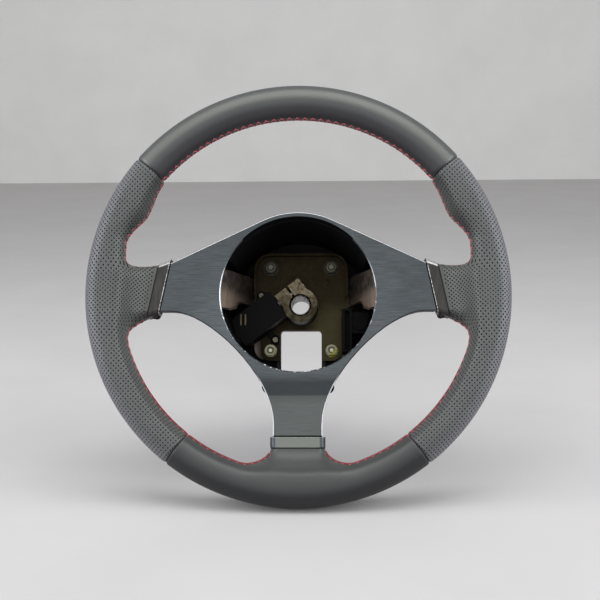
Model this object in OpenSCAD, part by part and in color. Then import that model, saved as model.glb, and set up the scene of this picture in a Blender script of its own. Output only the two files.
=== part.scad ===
// Three-spoke car steering wheel with a leather rim, airbag module left out.
// Plan views are drawn in X (right) and Z (up) as the driver sees the wheel.
// Depth is measured from the rim's middle plane, away from the driver.
// The origin lies on the column axis at the rear mouth of the hub bore.

/* [Rim] */
// Outside radius of the rim
rim_r = 175; // [165:0.5:190]
// Thickness of the round grip
grip_d = 29; // [26:0.5:32]
// Thickness of the leather
leather_t = 1.2; // [0.8:0.1:1.6]
// Gap between two leather panels at a seam
seam_gap = 0.4; // [0.2:0.1:1]
// Radius of the armature's ring tube
ring_tube_r = 6; // [5:0.1:6.4]
// Rim's middle plane, ahead of the rear mouth of the hub bore
rim_ahead = 127; // [110:1:145]
// Angle of the two upper seams above the horizontal
upper_seam_a = 40; // [38:0.5:46]
// Angle of the two lower seams below the horizontal
lower_seam_a = 52.6; // [46:0.2:58]
// How far a thumb rest stands out towards the hub
thumb_rise = 4.1; // [0:0.1:8]
// Angle of the thumb rests above the horizontal
thumb_a = 27.5; // [25:0.5:31]
// How much the grip narrows between thumb rest and spoke
thumb_pocket = 2.2; // [0:0.1:3]

/* [Spoke roots] */
// Thickness of a padded spoke root
root_t = 20.8; // [17:0.2:24]
// Rounding of a spoke root's long edges
root_edge_r = 7; // [4:0.5:9]
// Depth of a side spoke root's middle
root_depth = 21; // [17:0.5:25]
// Distance of the side clips from the axis, as a share of the rim's radius
side_clip_share = 0.6309; // [0.615:0.0001:0.638]
// Lean of the side clips from the vertical
side_clip_a = 11.7; // [6:0.1:16]
// Middle height of a side clip along its own slant
side_clip_mid = -18.4; // [-22:0.2:-16]
// Direction of a side spoke below the horizontal
side_spoke_a = 20; // [12:0.5:26]
// Distance of the bottom clip from the axis, as a share of the rim's radius
bottom_clip_share = 0.676; // [0.66:0.001:0.69]
// Width of a clip along its spoke
clip_w = 8.3; // [5:0.1:10]
// Length of a side clip, square to its spoke
side_clip_l = 40.4; // [37:0.2:43]
// Length of the bottom clip
bottom_clip_l = 45.2; // [38:0.2:48]
// How far a clip stands proud of the leather
clip_proud = 0.2; // [0.1:0.1:1.2]
// Outer corner radius of a clip
clip_corner_r = 5; // [3:0.5:7]

/* [Bezel] */
// Depth of the bezel's face
face_depth = 11; // [8:0.5:14]
// Thickness of the bezel
bezel_t = 2.5; // [1.5:0.1:4]
// Chamfer along the bezel's edges
bezel_chamfer = 0.8; // [0.3:0.1:1.2]
// Radius of the hub opening
opening_r = 64.7; // [60:0.1:66]
// Extra radius of the opening's upper part
opening_step = 1.1; // [0.5:0.1:2]
// Outside radius of the ring over the opening
ring_r = 69.4; // [68:0.1:74]
// Height of a side arm's upper edge at its clip
arm_high_z = 26.2; // [22:0.1:28]
// Height of a side arm's lower edge
arm_low = -14.6; // [-20:0.1:-12]
// Half width of the bottom arm at its clip
bottom_arm_hw = 20.3; // [16:0.1:21]
// Place of the bend across the bottom arm, as a share of the way out to its clip
bend_share = 0.71; // [0.69:0.01:0.75]
// Angle of the bend, towards the driver
bend_a = 6.7; // [0:0.1:10]

/* [Rear shroud] */
// Wall of the plastic rear shroud
shroud_t = 2.2; // [1.6:0.1:3]
// Step from the bezel's outline in to the shroud's
shroud_step = 0.9; // [0.9:0.1:1.6]
// Depth of the shroud's trays behind the bezel
tray_h = 17; // [15:0.5:20]
// Outside radius of the shroud's bucket at its front
bucket_front_r = 68; // [67:0.1:68.2]
// Outside radius of the shroud's bucket at its floor
bucket_floor_r = 65; // [62:0.1:67]
// Thickness of the bucket's floor
floor_t = 2.5; // [2:0.1:3]

/* [Hub] */
// Radius of the bore for the column
bore_r = 8.8; // [8:0.1:10]
// Length of the column clamp
clamp_l = 44; // [38:1:50]
// Outside radius of the clamp's sleeve
clamp_r = 15.5; // [14:0.1:17]
// Distance of the clamp ears' face from the axis
ear_reach = 20.5; // [19.5:0.1:24]
// Width of the two clamp ears together
ear_w = 26.7; // [24:0.1:29]
// Width of the clamp's slot
slot_w = 2.2; // [1.5:0.1:3]
// Direction of the clamp's slot, from the driver's right
slot_a = 127.6; // [120:0.1:135]
// Distance of the pinch bolt from the column axis
pinch_off = 14.2; // [14:0.1:15]
// Radius of the pinch bolt's shank
pinch_r = 4; // [3:0.1:4.1]
// Pinch bolt behind the clamp's front end
pinch_back = 14; // [10:0.5:18]
// Thickness of the hub plate
plate_t = 4; // [3:0.1:5]
// Half width of the hub plate
plate_hw = 43.5; // [40:0.1:45]
// Top of the hub plate above the axis
plate_top = 52; // [48:0.1:54]
// Height of the hub plate's turned-up flange
flange_h = 6; // [4:0.1:9]
// Half spacing of the hub bolts across
bolt_x = 28; // [26:0.1:30]
// Half spacing of the hub bolts up and down
bolt_z = 38.5; // [36:0.1:41]
// Radius of the hub bolts
bolt_r = 4; // [3:0.1:5]
// Radius of the hub plate's lower lobes
lobe_r = 9.2; // [8.5:0.1:11]
// Half width of the cable opening
cable_hw = 18.8; // [16:0.1:18.8]
// Top of the cable opening below the axis
cable_top = 20; // [19:0.1:23]
// Thickness of the armature's pan and arms
pan_t = 3.5; // [3:0.1:4.5]
// Space between the shroud's floor and the rear mouth of the bore
floor_back = 1.5; // [1:0.1:4]

/* [Hub fittings] */
// Width of the pinch bolt's plastic tool guide
guide_w = 27; // [25:0.5:29]
// Length of the tool guide
guide_l = 47; // [40:1:50]
// Height of the tool guide
guide_h = 30; // [28:0.5:32]
// Radius of the guide's tool passage
guide_bore_r = 8.5; // [7.5:0.1:10]
// Height of the connector housing on the hub plate
housing_h = 30; // [24:1:36]
// Radius of the horn contact
contact_r = 7; // [5:0.5:8]

/* [Hidden] */
$fn = 64;

fit = 0.3;
grip_r = grip_d / 2;
mid_r = rim_r - grip_r;
inner_r = rim_r - grip_d;
pocket_a = 16.5;
edge_h = 0.4;
grid_rows = 8;
ring_room = 2.1;

clip_gap = 0.3;
side_clip_s = rim_r * side_clip_share;
bottom_clip_s = rim_r * bottom_clip_share;
bend_z = -bottom_clip_s * bend_share;
clip_t = clip_proud + leather_t - fit;
side_normal = [cos(side_clip_a), sin(side_clip_a)];
side_along = [-sin(side_clip_a), cos(side_clip_a)];
side_axis = [cos(side_spoke_a), -sin(side_spoke_a)];
side_root_s = side_clip_s + clip_w + clip_gap;
side_lean = side_clip_a + side_spoke_a;
side_root_mid = side_clip_mid - (clip_w / 2 + clip_gap) * tan(side_lean);
root_half = (side_clip_l - 2 * clip_proud) / 2 / cos(side_lean);
clip_h = root_t + 2 * clip_proud;
neck_end = 0.5;

bezel_rear = face_depth + bezel_t;
bottom_rise = (bottom_clip_s + bend_z) * tan(bend_a);
bottom_depth = root_depth - bottom_rise;

clamp_front = rim_ahead - clamp_l;
floor_rear = rim_ahead - floor_back;
floor_front = floor_rear - floor_t;
pan_front = floor_front - pan_t;
plate_front = pan_front - plate_t;
bucket_front = bezel_rear;
cable_low = 58;
cable_corner = 3;

// Smooth step from 0 to 1
function ease(t) = let (c = max(0, min(1, t))) c * c * (3 - 2 * c);
function mix(a, b, t) = a + (b - a) * t;
function polar(r, a) = [r * cos(a), r * sin(a)];
function unit(v) = v / norm(v);
function right_of(v) = unit([v[1], -v[0]]);
function bezier(p, t) =
    p[0] * pow(1 - t, 3) + p[1] * 3 * t * pow(1 - t, 2) + p[2] * 3 * t * t * (1 - t) + p[3] * pow(t, 3);
function mirrored(points) = [for (i = [len(points) - 1:-1:0]) [-points[i][0], points[i][1]]];

// Distance from a point to a path of straight stretches
function stretch_distance(p, a, b) =
    let (ab = b - a, t = max(0, min(1, ((p - a) * ab) / (ab * ab)))) norm(p - a - t * ab);
function path_distance(p, path) =
    min([for (i = [0:len(path) - 2]) stretch_distance(p, path[i], path[i + 1])]);

// Both sides of a strip that follows a path, joined into one outline
function strip(path, t) =
    let (n = len(path) - 1,
         side = [for (i = [0:n])
             let (a = right_of(path[max(i, 1)] - path[max(i, 1) - 1]),
                  b = right_of(path[min(i + 1, n)] - path[min(i + 1, n) - 1]),
                  m = unit(a + b))
             m * (t / 2) / (m * a)])
    concat([for (i = [0:n]) path[i] + side[i]], [for (i = [n:-1:0]) path[i] - side[i]]);

// Solid between two depths, from a plan outline
module slab(depth, t) {
    translate([0, depth + t - rim_ahead, 0])
        rotate([90, 0, 0])
            linear_extrude(t)
                children();
}

// Round bar along the column's direction, from a depth backwards
module post(at, depth, t, r, r_front = 0) {
    translate([at[0], depth + t - rim_ahead, at[1]])
        rotate([90, 0, 0])
            cylinder(r1 = r, r2 = r_front == 0 ? r : r_front, h = t);
}

module rounded_plan(x0, x1, z0, z1, r) {
    union() {
        translate([x0 + r, z0])
            square([x1 - x0 - 2 * r, z1 - z0]);
        translate([x0, z0 + r])
            square([x1 - x0, z1 - z0 - 2 * r]);
        for (x = [x0 + r, x1 - r], z = [z0 + r, z1 - r])
            translate([x, z])
                circle(r);
    }
}

// Padded rim and spoke root: plan edges

// The edge curves of the roots keep their form on a larger or smaller rim
curve_k = rim_r / 175;

// A rim edge station holds a plan point and the angle it faces on the outer rim
function thumb_radius(a) =
    a < thumb_a
        ? mix(inner_r + thumb_pocket, inner_r - thumb_rise, ease((a - pocket_a) / (thumb_a - pocket_a)))
        : mix(inner_r - thumb_rise, inner_r, ease((a - thumb_a) / (upper_seam_a - thumb_a)));

side_low_corner = side_normal * side_root_s + side_along * (side_root_mid - root_half);
side_high_corner = side_normal * side_root_s + side_along * (side_root_mid + root_half);
low_start_a = -19.8;
low_curve = [polar(inner_r, low_start_a),
             polar(inner_r, low_start_a) + 19 * curve_k * [-sin(low_start_a), cos(low_start_a)],
             side_low_corner + curve_k * [14.7, -7.3],
             side_low_corner];
high_curve = [side_high_corner,
              side_high_corner + curve_k * [30.1, -7.5],
              polar(inner_r + thumb_pocket, pocket_a) + curve_k * [0.9, -17.2],
              polar(inner_r + thumb_pocket, pocket_a)];
side_seam_trim = seam_gap / 2 / mid_r * 180 / PI;
low_outer_a = -2.5;
high_outer_a = 3;

side_low_edge = concat(
    [for (i = [0:7])
        let (a = mix(-lower_seam_a + side_seam_trim, low_start_a, i / 7)) [polar(inner_r, a), a]],
    [for (t = [0.2, 0.4, 0.6, 0.8])
        [bezier(low_curve, t), mix(low_start_a, low_outer_a, t)]]);
side_high_edge = concat(
    [for (t = [0.15, 0.3, 0.45, 0.6, 0.8])
        [bezier(high_curve, t), mix(high_outer_a, pocket_a, t)]],
    [for (i = [0:7])
        let (a = mix(pocket_a, upper_seam_a - side_seam_trim, i / 7)) [polar(thumb_radius(a), a), a]]);

bottom_root_s = bottom_clip_s + clip_w + clip_gap;
bottom_corner = [bottom_clip_l / 2 - clip_proud, -bottom_root_s];
bottom_start_a = -71.5;
bottom_curve = [bottom_corner,
                bottom_corner + curve_k * [0.5, -9],
                polar(inner_r, bottom_start_a) + 9 * curve_k * [sin(bottom_start_a), -cos(bottom_start_a)],
                polar(inner_r, bottom_start_a)];
bottom_outer_a = -87;
bottom_right_edge = concat(
    [for (t = [0.2, 0.4, 0.6, 0.8])
        [bezier(bottom_curve, t), mix(bottom_outer_a, bottom_start_a, t)]],
    [for (i = [0:4])
        let (a = mix(bottom_start_a, -lower_seam_a - side_seam_trim, i / 4)) [polar(inner_r, a), a]]);
bottom_left_edge = [for (i = [len(bottom_right_edge) - 1:-1:0])
    let (s = bottom_right_edge[i]) [[-s[0][0], s[0][1]], -180 - s[1]]];

// A root holds its edges, clip corners, outer angles at the corners, outward normal and depth
side_root = [side_low_edge, side_high_edge, side_low_corner, side_high_corner,
             [low_outer_a, high_outer_a], side_normal, root_depth];
bottom_root = [bottom_left_edge, bottom_right_edge, [-bottom_corner[0], bottom_corner[1]], bottom_corner,
               [-180 - bottom_outer_a, bottom_outer_a], [0, -1], bottom_depth];

clip_steps = [0, 0.05, 0.14, 0.3, 0.5, 0.7, 0.86, 0.95, 1];

// Plan points of one side's edge, moved into the padding by t
function moved_edge(edge, before, after, t) =
    let (n = len(edge) - 1)
    [for (i = [0:n])
        let (a = i == 0 ? before : edge[i - 1][0], b = i == n ? after : edge[i + 1][0])
        [edge[i][0] + t * right_of(b - a), edge[i][1]]];

function edge_stations(root, t) =
    let (low = root[0], high = root[1], nl = len(low) - 1,
         run = unit(root[3] - root[2]),
         a = root[2] + t * run, b = root[3] - t * run,
         first = right_of([-low[0][0][1], low[0][0][0]] / norm(low[0][0])))
    concat(
        [[low[0][0] + t * first, low[0][1]]],
        [for (i = [1:nl])
            let (next = i == nl ? root[2] : low[i + 1][0])
            [low[i][0] + t * right_of(next - low[i - 1][0]), low[i][1]]],
        [for (f = clip_steps) [mix(a, b, f), mix(root[4][0], root[4][1], f)]],
        [for (i = [0:len(high) - 2])
            let (last = i == 0 ? root[3] : high[i - 1][0])
            [high[i][0] + t * right_of(high[i + 1][0] - last), high[i][1]]],
        [let (e = high[len(high) - 1]) [e[0] + t * unit(e[0]), e[1]]]);

function root_blend(p, root, reach, r0, r1) =
    let (q = (p - root[2]) * root[5])
    (1 - ease(q / reach)) * (1 - ease((norm(p) - r0) / (r1 - r0)));
function root_middle(p, root) = root[6] * root_blend(p, root, 34 * curve_k, inner_r - 8, inner_r + 6);

// Half thickness of the padding over a plan point, t below the leather's face
function half_height(p, root, low_path, high_path, t) =
    let (w = root_blend(p, root, 30 * curve_k, inner_r - 12, inner_r + 2),
         r = max(1, mix(grip_r, root_edge_r, w) - t),
         h = mix(grip_r, root_t / 2, w) - t,
         d = min(path_distance(p, low_path), path_distance(p, high_path), rim_r - norm(p)) - t,
         f = 1 - max(0, min(1, d / r)))
    max(edge_h, h * sqrt(1 - f * f));

// Closed loops of points around the padding, one for each edge station
function padding_loops(root, t) =
    let (low_path = concat([for (s = root[0]) s[0]], [root[2]]),
         high_path = concat([root[3]], [for (s = root[1]) s[0]]),
         steps = [for (k = [0:grid_rows]) (1 - cos(180 * k / grid_rows)) / 2])
    [for (s = edge_stations(root, t))
        let (outer = polar(rim_r - t, s[1]),
             plan = [for (f = steps) mix(s[0], outer, f)],
             mids = [for (p = plan) root_middle(p, root)],
             halves = [for (p = plan) half_height(p, root, low_path, high_path, t)])
        concat(
            [for (k = [0:grid_rows]) [plan[k][0], mids[k] - halves[k] - rim_ahead, plan[k][1]]],
            [for (k = [grid_rows:-1:0]) [plan[k][0], mids[k] + halves[k] - rim_ahead, plan[k][1]]])];

// Loops of the plain top stretch between the two side stretches
function top_loops(t) =
    [for (i = concat([0.03], [for (j = [1:15]) j], [15.97]))
        let (a = mix(upper_seam_a, 180 - upper_seam_a, i / 16),
             steps = [for (k = [0:grid_rows]) 180 * k / grid_rows])
        concat(
            [for (b = steps) ring_point(a, mid_r - (grip_r - t) * cos(b), -max(edge_h, (grip_r - t) * sin(b)))],
            [for (b = steps)
                ring_point(a, mid_r + (grip_r - t) * cos(b), max(edge_h, (grip_r - t) * sin(b)))])];
function ring_point(a, r, y) = [r * cos(a), y - rim_ahead, r * sin(a)];
function flipped_loops(loops) =
    [for (i = [len(loops) - 1:-1:0]) [for (p = loops[i]) [-p[0], p[1], p[2]]]];

// Is the stretch from loop u to the next one an open spoke end?
function is_open(u, opens) = max([for (o = opens) u >= o[0] && u < o[1] ? 1 : 0]) > 0;

// Faces between neighbouring loops, left out where a spoke end is open
function wall_faces(loops, n, start, flip, opens, ring) =
    [for (u = [0:loops - (ring ? 1 : 2)], k = [0:n - 1])
        if (k < n - 1 || !is_open(u, opens))
            let (v = (u + 1) % loops, w = (k + 1) % n,
                 a = start + u * n + k, b = start + u * n + w, c = start + v * n + w, d = start + v * n + k)
            each flip ? [[a, b, c], [a, c, d]] : [[a, c, b], [a, d, c]]];

// Point numbers round an open spoke end
function end_ring(o, n, start) =
    concat([for (u = [o[0]:o[1]]) start + u * n], [for (u = [o[1]:-1:o[0]]) start + u * n + n - 1]);
function band_faces(a, b) =
    [for (j = [0:len(a) - 1])
        let (i = (j + 1) % len(a))
        each [[a[j], b[i], a[i]], [a[j], b[j], b[i]]]];

// Leather skin over the padding, open under the clip
module skin(root, other_side = false) {
    outer = other_side ? flipped_loops(padding_loops(root, 0)) : padding_loops(root, 0);
    inner = other_side ? flipped_loops(padding_loops(root, leather_t)) : padding_loops(root, leather_t);
    n = len(outer[0]);
    m = len(outer);
    inside = m * n;
    last = (m - 1) * n;
    first = len(root[other_side ? 1 : 0]);
    opens = [[first, first + len(clip_steps) - 1]];
    polyhedron(points = concat([for (l = outer) each l], [for (l = inner) each l]),
               faces = concat(wall_faces(m, n, 0, false, opens, false),
                              wall_faces(m, n, inside, true, opens, false),
                              band_faces(end_ring(opens[0], n, 0), end_ring(opens[0], n, inside)),
                              band_faces([for (k = [n - 1:-1:0]) k], [for (k = [n - 1:-1:0]) inside + k]),
                              band_faces([for (k = [0:n - 1]) last + k],
                                         [for (k = [0:n - 1]) inside + last + k])));
}

// Padding of the whole rim, with the hollow that the ring and the arm ends lie in
function all_loops(t, top_t) =
    let (side = padding_loops(side_root, t))
    concat(side, top_loops(top_t), flipped_loops(side), padding_loops(bottom_root, t));

module whole_padding() {
    hollow_t = grip_r - ring_tube_r - ring_room;
    outer = all_loops(leather_t, leather_t + 0.3);
    inner = all_loops(hollow_t, hollow_t);
    n = len(outer[0]);
    m = len(outer);
    inside = m * n;
    more = 2 * m * n;
    c = len(clip_steps);
    sides = len(side_low_edge) + c + len(side_high_edge);
    left = sides + 17;
    bottom = left + sides + len(bottom_left_edge);
    opens = [[len(side_low_edge), len(side_low_edge) + c - 1],
             [left + len(side_high_edge), left + len(side_high_edge) + c - 1],
             [bottom, bottom + c - 1]];
    side_step = (clip_w + clip_gap - neck_end) / cos(side_lean);
    steps = [[-side_axis[0] * side_step, 0, -side_axis[1] * side_step],
             [side_axis[0] * side_step, 0, -side_axis[1] * side_step],
             [0, 0, clip_w + clip_gap - neck_end]];
    points = concat([for (l = outer) each l], [for (l = inner) each l]);
    necks = [for (e = [0:2], layer = [0, inside])
        for (i = end_ring(opens[e], n, layer)) points[i] + steps[e]];
    polyhedron(points = concat(points, necks),
               faces = concat(wall_faces(m, n, 0, false, opens, true),
                              wall_faces(m, n, inside, true, opens, true),
                              [for (e = [0:2])
                                  let (a = end_ring(opens[e], n, 0),
                                       b = [for (i = [0:2 * c - 1]) more + e * 4 * c + i],
                                       d = [for (i = [0:2 * c - 1]) more + e * 4 * c + 2 * c + i],
                                       f = end_ring(opens[e], n, inside))
                                  each concat(band_faces(a, b), band_faces(b, d), band_faces(d, f))]));
}

// Clips

// Rounded bar along a spoke, cut square to the clip's own slant
module spoke_bar(centre, axis_a, depth, l, h, r, s0, s1, normal) {
    intersection() {
        translate([centre[0], depth - rim_ahead, centre[1]])
            rotate([0, -axis_a, 0])
                rotate([90, 0, 90])
                    translate([0, 0, -30])
                        linear_extrude(60)
                            rounded_plan(-h / 2, h / 2, -l / 2, l / 2, r);
        rotate([0, -atan2(normal[1], normal[0]), 0])
            translate([s0, depth - rim_ahead - h, -80])
                cube([s1 - s0, 2 * h, 160]);
    }
}

module side_bar(l, h, r, s0, s1) {
    spoke_bar(side_normal * (side_clip_s + clip_w / 2) + side_along * side_clip_mid,
              -side_spoke_a, root_depth, l, h, r, s0, s1, side_normal);
}

module bottom_bar(l, h, r, s0, s1) {
    spoke_bar([0, -bottom_clip_s], -90, bottom_depth, l, h, r, s0, s1, [0, -1]);
}

module side_clip() {
    difference() {
        side_bar(side_clip_l, clip_h, clip_corner_r, side_clip_s, side_clip_s + clip_w);
        side_bar(side_clip_l - 2 * clip_t, clip_h - 2 * clip_t, clip_corner_r - clip_t,
                 side_clip_s - 1, side_clip_s + clip_w + 1);
    }
}

module left_spoke_clip() {
    color([0.2, 0.2, 0.21])
        mirror([1, 0, 0])
            side_clip();
}

module right_spoke_clip() {
    color([0.2, 0.2, 0.21])
        side_clip();
}

module bottom_spoke_clip() {
    color([0.24, 0.25, 0.25])
        difference() {
            bottom_bar(bottom_clip_l, clip_h, clip_corner_r, bottom_clip_s, bottom_clip_s + clip_w);
            bottom_bar(bottom_clip_l - 2 * clip_t, clip_h - 2 * clip_t, clip_corner_r - clip_t,
                       bottom_clip_s - 1, bottom_clip_s + clip_w + 1);
        }
}

// Armature: a pan with three bent arms, and the ring that they carry

// Depth of the padding's middle along a line of plan points
function arm_line(root, points) = [for (p = points) root_middle(p, root)];

side_arm_path = [[plate_hw - 3, floor_front - pan_t / 2],
                 [plate_hw + 1.2, floor_front - pan_t / 2],
                 [plate_hw + 3.4, floor_front - pan_t / 2 - 3.4],
                 [plate_hw + 4, floor_front - pan_t / 2 - 9],
                 [opening_r - 1, root_depth + 14],
                 [opening_r + 3, root_depth + 4],
                 [opening_r + 10, root_depth],
                 [side_clip_s - 6, root_depth]];
side_arm_plan = [[plate_hw - 4, 2.5], [opening_r - 11, 2.5], [opening_r - 9, 0], [opening_r - 8, -4],
                 [opening_r - 4, -8], [opening_r + 9, -11],
                 [side_clip_s - 6, -11], [side_clip_s - 6, 13],
                 [opening_r + 9, 19], [opening_r - 4, 25], [plate_hw + 4, 29], [plate_hw - 4, 29]];

// The slanted outer part of a side arm, in steps along the clip's normal
arm_turn_s = side_clip_s - 22.8;
outer_end = mid_r - 3.5;
outer_steps = concat([arm_turn_s], [for (i = [0:6]) mix(side_root_s, outer_end, i / 6)]);
function outer_arm_mid(s) = s < side_root_s
    ? mix(-9, side_root_mid, (s - arm_turn_s) / (side_root_s - arm_turn_s))
    : mix(side_root_mid, -35, (s - side_root_s) / (outer_end - side_root_s));
outer_arm_path = [for (s = outer_steps)
    [s, s <= side_root_s ? root_depth : root_middle(s * side_normal + outer_arm_mid(s) * side_along, side_root)]];
outer_arm_hw = 11.5;
outer_arm_plan = concat([for (s = outer_steps) [s, outer_arm_mid(s) - outer_arm_hw]],
                        [for (i = [len(outer_steps) - 1:-1:0])
                            [outer_steps[i], outer_arm_mid(outer_steps[i]) + outer_arm_hw]]);

bottom_arm_end = mid_r - 2;
bottom_steps = [for (i = [0:5]) mix(bottom_root_s, bottom_arm_end, i / 6)];
bottom_arm_path = concat(
    [[cable_low + 0.5, floor_front - pan_t / 2],
     [cable_low + 4, floor_front - pan_t / 2],
     [cable_low + 7, floor_front - pan_t / 2 - 3],
     [cable_low + 8, floor_front - pan_t / 2 - 9],
     [opening_r + 7, root_depth + 14],
     [opening_r + 10, root_depth + 4],
     [opening_r + 18, root_depth - 0.2]],
    [for (s = bottom_steps) [s, root_middle([0, -s], bottom_root)]],
    [[bottom_arm_end, 0]]);
strap_hw = 12;
tongue_hw = 22.5;

module arm_ring() {
    translate([0, -rim_ahead, 0])
        rotate([90, 0, 0])
            rotate_extrude($fn = 96)
                translate([mid_r, 0])
                    circle(ring_tube_r, $fn = 32);
}

// Bent strap: its profile over depth, cut to its plan
module strap(path, plan) {
    intersection() {
        translate([0, -rim_ahead, -60])
            linear_extrude(110)
                polygon(strip(path, pan_t));
        translate([0, 5, 0])
            rotate([90, 0, 0])
                linear_extrude(rim_ahead + 20)
                    polygon(plan);
    }
}

module inner_side_arm() {
    strap(side_arm_path, side_arm_plan);
    rotate([0, -side_clip_a, 0])
        intersection() {
            strap(outer_arm_path, outer_arm_plan);
            translate([0, -2 * rim_ahead, -100])
                cube([side_root_s, 2 * rim_ahead, 200]);
        }
}

module outer_side_arm() {
    rotate([0, -side_clip_a, 0])
        difference() {
            strap(outer_arm_path, outer_arm_plan);
            translate([0, -2 * rim_ahead, -100])
                cube([side_root_s, 2 * rim_ahead, 200]);
        }
}

module bottom_arm() {
    intersection() {
        translate([-tongue_hw, -rim_ahead, 0])
            rotate([0, 90, 0])
                linear_extrude(2 * tongue_hw)
                    polygon(strip(bottom_arm_path, pan_t));
        translate([0, 5, 0])
            rotate([90, 0, 0])
                linear_extrude(rim_ahead + 20)
                    polygon([[-tongue_hw, -cable_low], [-tongue_hw, -cable_low - 7], [-strap_hw - 5, -opening_r - 6],
                             [-strap_hw, bend_z - 12], [-strap_hw, -mid_r], [strap_hw, -mid_r],
                             [strap_hw, bend_z - 12], [strap_hw + 5, -opening_r - 6],
                             [tongue_hw, -cable_low - 7], [tongue_hw, -cable_low]]);
    }
}

module beyond_bottom_root() {
    translate([-rim_r, -2 * rim_ahead, -bottom_root_s - rim_r])
        cube([2 * rim_r, 2 * rim_ahead, rim_r]);
}

module hub_bolt_places() {
    for (x = [-bolt_x, bolt_x], z = [-bolt_z, bolt_z])
        translate([x, z])
            children();
}

module cable_cut(low) {
    rounded_plan(-cable_hw, cable_hw, -low, -cable_top, cable_corner);
}

weld_nut_h = 4;
bolt_gap = 0.15;

module armature() {
    color([0.5, 0.45, 0.4])
        union() {
            inner_side_arm();
            mirror([1, 0, 0])
                inner_side_arm();
            difference() {
                bottom_arm();
                beyond_bottom_root();
            }
            slab(pan_front, pan_t)
                difference() {
                    union() {
                        rounded_plan(-plate_hw, plate_hw, 11 - cable_low, plate_top - 2, 12);
                        translate([-tongue_hw, -cable_low - 4])
                            square([2 * tongue_hw, 24]);
                    }
                    circle(clamp_r + 2);
                    cable_cut(cable_low);
                    hub_bolt_places()
                        circle(bolt_r + bolt_gap);
                }
            for (x = [-bolt_x, bolt_x], z = [-bolt_z, bolt_z])
                difference() {
                    post([x, z], floor_front, weld_nut_h, bolt_r + 3);
                    post([x, z], floor_front - 1, weld_nut_h + 2, bolt_r + bolt_gap);
                }
        }
}

// Ring inside the padding, with the ends of the three arms welded to it
module rim_ring() {
    color([0.45, 0.42, 0.4]) {
        arm_ring();
        outer_side_arm();
        mirror([1, 0, 0])
            outer_side_arm();
        intersection() {
            bottom_arm();
            beyond_bottom_root();
        }
    }
}

module rim_foam() {
    color([0.12, 0.12, 0.12])
        whole_padding();
}

// Round stretch of the rim between the two upper seams
module top_rim(r_in, r_out, trim) {
    a0 = upper_seam_a - side_seam_trim + trim;
    translate([0, -rim_ahead, 0])
        rotate([90, 0, 0])
            rotate([0, 0, a0])
                rotate_extrude(angle = 180 - 2 * a0, $fn = 96)
                    translate([mid_r, 0])
                        difference() {
                            circle(r_out, $fn = 48);
                            if (r_in > 0)
                                circle(r_in, $fn = 48);
                        }
}

module leather_top() {
    color([0.17, 0.17, 0.17])
        top_rim(grip_r - leather_t, grip_r, 2 * side_seam_trim);
}

module leather_left() {
    color([0.2, 0.2, 0.2])
        skin(side_root, true);
}

module leather_right() {
    color([0.2, 0.2, 0.2])
        skin(side_root);
}

module leather_bottom() {
    color([0.17, 0.17, 0.17])
        skin(bottom_root);
}

// Bezel

arm_end_s = side_clip_s - clip_gap;
arm_high = [(arm_end_s - side_normal[1] * arm_high_z) / side_normal[0], arm_high_z];
arm_low_end = [(arm_end_s - side_normal[1] * arm_low) / side_normal[0], arm_low];
// Slope of the upper edges, which run from the arm ends to the ring and touch it
shoulder_a = atan2(arm_high[0], arm_high[1]) - acos(ring_r / norm(arm_high));
web_curve = [[side_clip_s * 0.956, arm_low], [side_clip_s * 0.6875, arm_low],
             [bottom_arm_hw, -bottom_clip_s * 0.5664], [bottom_arm_hw, -bottom_clip_s * 0.913]];
// Least width of the bezel round its opening, whatever the size of the rim
web_least = 3.5;
bottom_end = -bottom_clip_s + clip_gap;

// Right half of the bezel's outline, from the top to the bottom clip
bezel_half = concat(
    [for (i = [0:6]) polar(ring_r, 90 - shoulder_a * i / 6)],
    [arm_high, arm_low_end],
    [for (i = [0:16]) bezier(web_curve, i / 16)],
    [[bottom_arm_hw, bottom_end]]);
bezel_outline = concat(bezel_half, mirrored([for (i = [1:len(bezel_half) - 1]) bezel_half[i]]));

// Outline moved inwards by t, corner by corner
function inset(points, t) =
    let (n = len(points))
    [for (i = [0:n - 1])
        let (a = right_of(points[i] - points[(i + n - 1) % n]),
             b = right_of(points[(i + 1) % n] - points[i]),
             m = unit(a + b))
        points[i] + m * t / max(0.5, m * a)];

// Plate with one chamfered face; rear_side puts the chamfer away from the driver
module chamfered_plate(points, depth, t, c, rear_side = false) {
    n = len(points);
    small = inset(points, c);
    y_flat = (rear_side ? depth : depth + t) - rim_ahead;
    y_step = (rear_side ? depth + t - c : depth + c) - rim_ahead;
    y_face = (rear_side ? depth + t : depth) - rim_ahead;
    walls = [for (ring = [0:1], i = [0:n - 1])
        let (a = ring * n + i, b = ring * n + (i + 1) % n)
        each [[a, b, b + n], [a, b + n, a + n]]];
    caps = [[for (i = [n - 1:-1:0]) i], [for (i = [0:n - 1]) 2 * n + i]];
    faces = concat(walls, caps);
    polyhedron(points = concat([for (p = points) [p[0], y_flat, p[1]]],
                               [for (p = points) [p[0], y_step, p[1]]],
                               [for (p = small) [p[0], y_face, p[1]]]),
               faces = rear_side ? [for (f = faces) [for (i = [len(f) - 1:-1:0]) f[i]]] : faces);
}

bend_overlap = 0.05;

// One side of the mitre that joins both parts of the bent bottom arm
module bend_side(depth, tilt, low, high) {
    translate([0, depth - rim_ahead, bend_z])
        rotate([tilt, 0, 0])
            translate([-2 * rim_r, -2 * rim_r, low])
                cube([4 * rim_r, 4 * rim_r, high - low]);
}

// Bends what lies below the bend line towards the driver
module bent(depth) {
    intersection() {
        children();
        bend_side(depth, -bend_a / 2, 0, 2 * rim_r);
    }
    translate([0, depth - rim_ahead, bend_z])
        rotate([-bend_a, 0, 0])
            translate([0, rim_ahead - depth, -bend_z])
                intersection() {
                    children();
                    bend_side(depth, bend_a / 2, -2 * rim_r, bend_overlap);
                }
}

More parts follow.
